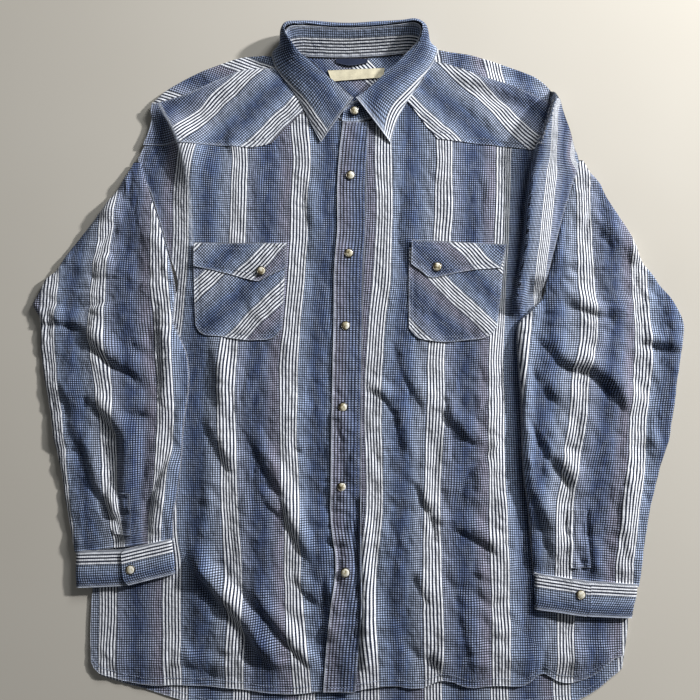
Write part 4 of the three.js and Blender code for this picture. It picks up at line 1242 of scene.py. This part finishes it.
def sleeve(side, stations, creases, stripes):
    """A flattened tube down its stations, lower at both ends and rounded along both edges."""
    table = smooth_rows(stations, SLEEVE_ROWS)
    outer, inner = table[:, :2], table[:, 2:]
    shares, face = across_tube(SLEEVE_TOP, SLEEVE_BELOW)
    flat = outer[:, None] + (inner - outer)[:, None] * shares[None, :, None]
    x, y = flat[..., 0], flat[..., 1]
    width = np.linalg.norm(outer - inner, axis=1)[:, None]
    floor = sleeve_floor(x, y) + CLOTH / 2
    roof = sleeve_roof(x, y, creases) - CLOTH / 2
    down = np.linspace(0, 1, SLEEVE_ROWS)[:, None]
    length = chord(outer)[-1]
    roof = floor + (roof - floor) * (0.52 + 0.48 * smooth((1 - down) * length / 16))
    roof = floor + (roof - floor) * (0.35 + 0.65 * smooth(down * length / 40))
    middle = floor + (roof - floor) * 0.5
    from_edge = np.minimum(shares, 1 - shares)[None] * width
    reach = np.clip(from_edge / np.minimum(SLEEVE_EDGE, width * 0.3), 0, 1)
    rounding = np.sqrt(1 - (1 - reach) ** 2)
    z = middle + (np.where(face > 0, roof, floor) - middle) * rounding
    points = np.stack([x, y, z], -1)
    u = straight_grain(stripes, creases)(x, y)[..., 0]
    edge_u = across_groups(stripes, outer[:, :1], outer[:, 1:])
    u = np.where(face > 0, u, 2 * edge_u - u)
    u = np.concatenate([u, 2 * edge_u - u[:, :1]], 1)
    v = -chord((outer + inner) / 2)[:, None] + 0.8 * mottle(x, y, 34, 73)
    uv = np.stack([u, np.concatenate([v, v[:, :1]], 1)], -1)
    if side == "left":
        points, uv = points[::-1], uv[::-1]
    piece = shell("cloth_sleeve_" + side, points, uv, CLOTH, STRIPED, wrap=True)
    dress(piece, "sleeve_" + side, "shirt_cloth")


def slit_strip(side, edges, creases, stripes):
    """The strip sewn over the sleeve's slit."""
    panel(
        "sleeve_placket_" + side, edges, 0, straight_grain(stripes, creases), step=2.4,
        height=lambda x, y: sleeve_roof(x, y, creases) + 0.4, thick=0.8, puff=0.3, edge_wear=0.35,
    )


def sleeves():
    sleeve("right", SLEEVE_RIGHT, SLEEVE_CREASES_RIGHT, STRIPES_SLEEVE_RIGHT)
    sleeve("left", SLEEVE_LEFT, SLEEVE_CREASES_LEFT, STRIPES_SLEEVE_LEFT)
    slit_strip("right", SLIT_RIGHT, SLEEVE_CREASES_RIGHT, STRIPES_SLEEVE_RIGHT)
    slit_strip("left", SLIT_LEFT, SLEEVE_CREASES_LEFT, STRIPES_SLEEVE_LEFT)


# Cuffs

# Stations down a cuff, closer together near its edges
CUFF_STATIONS = [
    0, 0.012, 0.04, 0.08, 0.11, 0.13, 0.15, 0.2, 0.3, 0.4, 0.5, 0.6, 0.7, 0.8, 0.86, 0.89, 0.92, 0.96,
    0.988, 1,
]
# How far the corners of the lapped end are cut off
CUFF_CORNER = 5.0


def cuff(side, corners, tab, dip):
    """A cuff wrapped round and lapped on its upper side, dipping towards the lapped end."""
    tab_top, far_top, tab_low, far_low = np.array(corners, float).reshape(4, 2)
    height = math.hypot(*(tab_low - tab_top))
    lines = []
    for t in CUFF_STATIONS:
        start = tab_top + (tab_low - tab_top) * t
        far = far_top + (far_low - far_top) * t
        width = np.linalg.norm(far - start)
        cut = np.clip((t - 0.72) / 0.28, 0, 1) ** 2.2 + np.clip((0.14 - t) / 0.14, 0, 1) ** 2.2
        d, level = cuff_line(width, tab - CUFF_CORNER * cut).T
        xy = start + d[:, None] * ((far - start) / width)
        xy[:, 1] -= dip * np.where(d < tab, d / tab, (width - d) / (width - tab))
        puff = 0.5 * np.sin(math.pi * t) + 0.25 * mottle(xy[:, 0], xy[:, 1], 14, 81)
        lift = 0.9 * (level > INTERFACED * 2 + CUFF_ROOM) * bump(d - tab, 16)
        z = level + sleeve_floor(xy[:, 0], xy[:, 1]) + np.where(level > INTERFACED + 1, puff, 0) + lift
        lines.append(np.column_stack([xy, z]))
    points = np.stack(lines)
    run = np.stack([chord(line) for line in points])
    depth = np.array([t * height for t in CUFF_STATIONS])[:, None] + 0 * run
    uv = np.stack([depth * 0.98 - 4.6, run], -1)
    if normals_of(points)[len(points) // 2, 2, 2] < 0:
        points, uv = points[::-1], uv[::-1]
    edge = np.minimum(depth, depth.max() - depth)
    edge = edge if points[0, 0, 1] > points[-1, 0, 1] else edge[::-1]
    piece = shell("cloth_cuff_" + side, points, uv, INTERFACED, STRIPED, np.exp(-edge / 1.6))
    dress(piece, "cuff_" + side, "shirt_cloth")


def cuff_line(width, tab):
    """Distance along the cuff's width and height, from the lapped end round the wrist and back under it."""
    low = INTERFACED / 2
    top = low + INTERFACED + CUFF_ROOM
    lapped = top + INTERFACED + 0.3
    corners = [
        (tab, lapped), (tab - 0.6, lapped), (tab - 4, lapped), (tab - 10, lapped), (tab - CUFF_LAP, lapped),
        (tab - CUFF_LAP - 12, top + 0.6), (9, top), (3, top - 0.7), (0.8, (top + low) / 2), (3, low + 0.7),
        (9, low), (width * 0.35, low), (width * 0.6, low), (width * 0.8, low), (width - 9, low),
        (width - 3, low + 0.7), (width - 0.8, (top + low) / 2), (width - 3, top - 0.7), (width - 9, top),
        (width * 0.75, top), (tab - CUFF_LAP + 4, top),
    ]
    return along(corners, np.concatenate([[0, 0.002, 0.006], np.linspace(0.012, 1, 110)]))


# Collar

COLLAR_ROWS = 220


def stand():
    """The stand, on edge round the neck. Its stripes shift at the two ends that lap in front."""
    table = smooth_rows(STAND, COLLAR_ROWS)
    low, high = table[:, :3], table[:, 3:]
    shares = np.array([0, 0.02, 0.08, 0.16, 0.3, 0.45, 0.6, 0.75, 0.88, 0.98, 1])
    points = low[:, None] + (high - low)[:, None] * shares[None, :, None]
    sag = np.sin(math.pi * shares)
    points[..., 2] -= 0.8 * sag
    points[..., 2] += 0.35 * mottle(points[..., 0], points[..., 1], 16, 91) * sag
    up = np.linalg.norm(high - low, axis=1)[:, None] * shares
    run = chord((low + high) / 2)[:, None] + 0 * up
    inner_edge = np.minimum(up, up.max(axis=1, keepdims=True) - up)
    tab = smooth((0.24 - np.minimum(run, run[-1] - run) / run[-1]) / 0.1)
    uv = np.stack([up - 11.8 + 26 * tab, run], -1)
    piece = shell("cloth_collar_stand", points, uv, INTERFACED, STRIPED, np.exp(-inner_edge / 1.5))
    dress(piece, "collar_stand", "shirt_cloth")


def bezier(handles, t):
    """Points of the curve with two end points and two handles."""
    a, b, c, d = [np.asarray(h, float) for h in handles]
    t = t[:, None]
    return (1 - t) ** 3 * a + 3 * (1 - t) ** 2 * t * b + 3 * (1 - t) * t**2 * c + t**3 * d


FALL_SHARES = np.array([
    0, 0.015, 0.05, 0.1, 0.17, 0.25, 0.34, 0.43, 0.52, 0.61, 0.7, 0.78, 0.84, 0.88, 0.91, 0.94, 0.97,
    0.992, 1,
])


def fall():
    """The collar's fall: from the fold out and down to its edge, or turned in under the stand at the back."""
    lines, across = [], []
    for x, y, z, edge_x, edge_y, edge_z, tuck in smooth_rows(FALL, COLLAR_ROWS):
        length = math.hypot(edge_x - x, edge_y - y)
        way = np.array([edge_x - x, edge_y - y]) / length
        open_line = [(0, z), (length * 0.25, z + 1.5), (length * 0.72, edge_z + 7), (length, edge_z)]
        turned_in = [(0, z), (length * 1.25, z), (length * 1.8, 0.6), (-length * 1.1 - 2, 1.2)]
        handles = [[a + (b - a) * tuck for a, b in zip(p, q)] for p, q in zip(open_line, turned_in)]
        line = bezier(handles, FALL_SHARES)
        lines.append(np.column_stack([x + line[:, 0] * way[0], y + line[:, 0] * way[1], line[:, 1]]))
        run = chord(lines[-1])
        across.append(run[-1] - run)
    points, across = np.stack(lines), np.stack(across)
    run = chord(points[:, 0])[:, None] + 0 * across
    tip = np.minimum(run, run[-1] - run) / run[-1]
    shift = -5.0 + 14.5 * smooth(tip / 0.2)
    wave = 0.5 * mottle(points[..., 0], points[..., 1], 22, 95)
    uv = np.stack([across + shift + wave, run], -1)
    points[..., 2] += 0.3 * mottle(points[..., 0], points[..., 1], 18, 97)
    edge = np.minimum(np.minimum(across, np.minimum(run, run[-1] - run)), run[-1, 0])
    if normals_of(points)[20, 5, 2] < 0:
        points, uv, edge = points[::-1], uv[::-1], edge[::-1]
    piece = shell("cloth_collar", points, uv, INTERFACED, STRIPED, np.exp(-edge / 1.3))
    dress(piece, "collar", "shirt_cloth")


# Label and loop inside the neck

def flat_piece(name, edges, thick, material, slot, lift):
    points = patch(*[joined(e) for e in edges], 2.0)
    x, y = points[..., 0], points[..., 1]
    z = 1.5 + thick / 2 + lift(x, y)
    piece = shell("cloth_" + name, np.stack([x, y, z], -1), np.stack([x, y], -1), thick, material)
    dress(piece, name, slot)


def neck_trim():
    flat_piece("neck_label", LABEL, 0.6, LABEL_CLOTH, "label", lambda x, y: 0.7 + 0.5 * mottle(x, y, 14, 99))
    flat_piece("hanger_loop", LOOP, 1.0, LOOP_CLOTH, "loop", lambda x, y: 0.3 + 0.8 * bump(x + 8, 18))


# Snaps

RIM_RADIUS = 5.8
RIM_THICK = 0.65
CAP_RADIUS = 4.7
SNAP_SIDES = 48


def lathe(name, profile, centre, material):
    """A closed turned solid. Its profile, [radius, height], runs from axis to axis or round a ring."""
    turn = np.arange(SNAP_SIDES) * 2 * math.pi / SNAP_SIDES
    profile = np.asarray(profile, float)
    ring = profile[0, 0] > 0
    radius = np.maximum(profile[:, 0], 0.02)[:, None]
    grid = np.stack([radius * np.cos(turn), radius * np.sin(turn), profile[:, 1][:, None] + 0 * turn], -1)
    vertices = (grid + np.asarray(centre)).reshape(-1, 3)
    m, k = len(profile), SNAP_SIDES
    r, c = np.meshgrid(np.arange(m if ring else m - 1), np.arange(k), indexing="ij")
    r, c = r.ravel(), c.ravel()
    nr, nc = (r + 1) % m, (c + 1) % k
    faces = np.stack([r * k + c, r * k + nc, nr * k + nc, nr * k + c], 1)
    uv = vertices[faces.ravel()][:, :2]
    return mesh_object(name, vertices, faces, uv, np.zeros(len(vertices)), material)


def arc(centre, radius, high, start, end, count):
    """Points of an ellipse from one angle to another."""
    angles = np.radians(np.linspace(start, end, count))
    return [[centre[0] + radius * math.cos(a), centre[1] + high * math.sin(a)] for a in angles]


RIM_PROFILE = [
    [CAP_RADIUS + 0.15, 0.1], [RIM_RADIUS - 0.1, 0.0],
    *arc((RIM_RADIUS - RIM_THICK, 0.75), RIM_THICK, RIM_THICK, -20, 150, 9), [CAP_RADIUS + 0.1, 0.85],
]
CAP_PROFILE = [
    [0, 0.0], [CAP_RADIUS - 0.3, 0.0], [CAP_RADIUS, 0.35], *arc((0, 0.8), CAP_RADIUS, 1.25, 4, 84, 12),
    [0, 2.06],
]


def snap(name, x, y, z):
    for kind, profile, material, slot in (
        ("metal_", RIM_PROFILE, METAL, "snap_rim"), ("pearl_", CAP_PROFILE, PEARL, "snap_cap"),
    ):
        dress(lathe(kind + name, profile, (x, y, z), material), slot + "_" + name, slot)


# Snaps on the fronts, as [name, x, y, layers of cloth below]
SNAPS = [
    ["1", -9, 223, 3.0], ["2", -11, 127, 3.0], ["3", -15, 39, 3.0], ["4", -18, -58, 3.0],
    ["5", -19, -151, 3.0], ["6", -15, -248, 3.0], ["flap_right", -116, 105, 3.9], ["flap_left", 95, 110, 3.9],
]


def snaps():
    for name, x, y, plies in SNAPS:
        ground = float(front_height(np.array([x], float), np.array([y], float))[0])
        snap(name, x, y, ground + plies * PLY - 0.1)
    lapped_top = 3 * INTERFACED + CUFF_ROOM + 0.8
    snap("cuff_right", -263, -245, OVER_FRONT + lapped_top)
    snap("cuff_left", 256, -273, OVER_FRONT + lapped_top)
    snap("stand", -4, 304, 7.9)


# Stage, light and camera

def stage():
    bpy.ops.mesh.primitive_plane_add(size=8, location=(0, 0, -0.0006))
    floor = bpy.context.object
    floor.name = "floor"
    floor.data.materials.append(pale_floor())


# Lights, as (name, place in metres, size, power, colour), and the sky
LIGHTS = [
    ("key", (2.35, 1.3, 1.22), 0.2, 112, (0.985, 0.99, 1.02)),
    ("top_fill", (0.75, 1.25, 0.8), 0.5, 15, (0.95, 0.98, 1.03)),
]
SKY_COLOUR = (0.88, 0.93, 1.0, 1)
SKY_STRENGTH = 0.11


def light():
    """A low hard light from the upper right, a soft fill from above the collar and a dim sky."""
    for name, place, size, power, colour in LIGHTS:
        lamp = bpy.data.lights.new(name, "AREA")
        lamp.shape = "DISK"
        lamp.size = size
        lamp.energy = power
        lamp.color = colour
        obj = bpy.data.objects.new(name, lamp)
        obj.location = place
        bpy.context.scene.collection.objects.link(obj)
        x, y, z = place
        obj.rotation_euler = (math.atan2(math.hypot(x, y), z), 0, math.atan2(x, -y))
    world = bpy.data.worlds.new("soft_sky")
    bpy.context.scene.world = world
    world.use_nodes = True
    sky = world.node_tree.nodes["Background"]
    sky.inputs["Color"].default_value = SKY_COLOUR
    sky.inputs["Strength"].default_value = SKY_STRENGTH
    bpy.context.scene.view_settings.view_transform = "Standard"


def camera():
    data = bpy.data.cameras.new("camera")
    data.lens = CAMERA_LENS
    data.sensor_width = SENSOR
    obj = bpy.data.objects.new("camera", data)
    obj.location = [v * MM for v in CAMERA_PLACE]
    obj.rotation_euler = (math.radians(CAMERA_LEAN), 0, 0)
    bpy.context.scene.collection.objects.link(obj)
    bpy.context.scene.camera = obj


def stitches():
    """Rows of stitches near the edges of the pockets, flaps, placket and yokes and along the hems."""
    groove = EDGE_LINES.index(GROOVE_AT)
    hem = EDGE_LINES.index(HEM_STITCHES)
    around = ("left", "right", "top", "bottom")
    sewn = [(name, side) for name in ("pocket_right", "pocket_left") for side in ("left", "right", "bottom")]
    sewn += [(name, side) for name in ("flap_right", "flap_left", "placket") for side in around]
    sewn += [("yoke_right", "bottom"), ("yoke_left", "bottom")]
    rows = [row_of(PANELS[name], groove, side) for name, side in sewn]
    rows += [row_of(PANELS[name], hem, "bottom") for name in ("front_right", "front_left", "back")]
    stitch_rows("stitches", rows)


# The flat cut of each piece that shows: width and length in metres, its area and what it lies on
CUTS = {
    "back": (0.62, 0.66, 0.362, []),
    "back_yoke": (0.535, 0.16, 0.074, ["back"]),
    "front_right": (0.32, 0.75, 0.198, ["back"]),
    "front_left": (0.325, 0.755, 0.199, ["back", "front_right"]),
    "yoke_right": (0.207, 0.113, 0.0145, ["front_right"]),
    "yoke_left": (0.208, 0.117, 0.0155, ["front_left"]),
    "placket": (0.036, 0.675, 0.0235, ["front_left"]),
    "pocket_right": (0.112, 0.11, 0.0117, ["front_right"]),
    "pocket_left": (0.116, 0.112, 0.0121, ["front_left"]),
    "flap_right": (0.112, 0.046, 0.0043, ["pocket_right"]),
    "flap_left": (0.116, 0.046, 0.0041, ["pocket_left"]),
    "sleeve_right": (0.38, 0.47, 0.124, ["front_right"]),
    "sleeve_left": (0.4, 0.51, 0.144, ["front_left"]),
    "sleeve_placket_right": (0.024, 0.049, 0.00115, ["sleeve_right"]),
    "sleeve_placket_left": (0.025, 0.067, 0.00165, ["sleeve_left"]),
    "cuff_right": (0.25, 0.042, 0.0103, ["front_right"]),
    "cuff_left": (0.25, 0.041, 0.0102, ["front_left"]),
    "collar_stand": (0.47, 0.034, 0.0146, ["back_yoke"]),
    "collar": (0.49, 0.075, 0.0187, ["collar_stand", "yoke_right", "yoke_left"]),
    "neck_label": (0.07, 0.016, 0.00095, ["back_yoke"]),
    "hanger_loop": (0.039, 0.01, 0.00034, ["back_yoke"]),
}


def declare_cuts():
    sewn_on = {"placket": ["1", "2", "3", "4", "5", "6"], "collar_stand": ["stand"]}
    sewn_on |= {name: [name] for name in ("flap_right", "flap_left", "cuff_right", "cuff_left")}
    objects = bpy.data.objects
    for name, (width, length, area, under) in CUTS.items():
        snaps_on = [objects[kind + which] for which in sewn_on.get(name, []) for kind in ("metal_", "pearl_")]
        rests_on = ["cloth_" + other for other in under] or ["floor"]


camera()
body()
back()
back_yoke()
sleeves()
cuff("right", *CUFF_RIGHT)
cuff("left", *CUFF_LEFT)
stand()
fall()
neck_trim()
snaps()
stitches()
stage()
light()
declare_cuts()
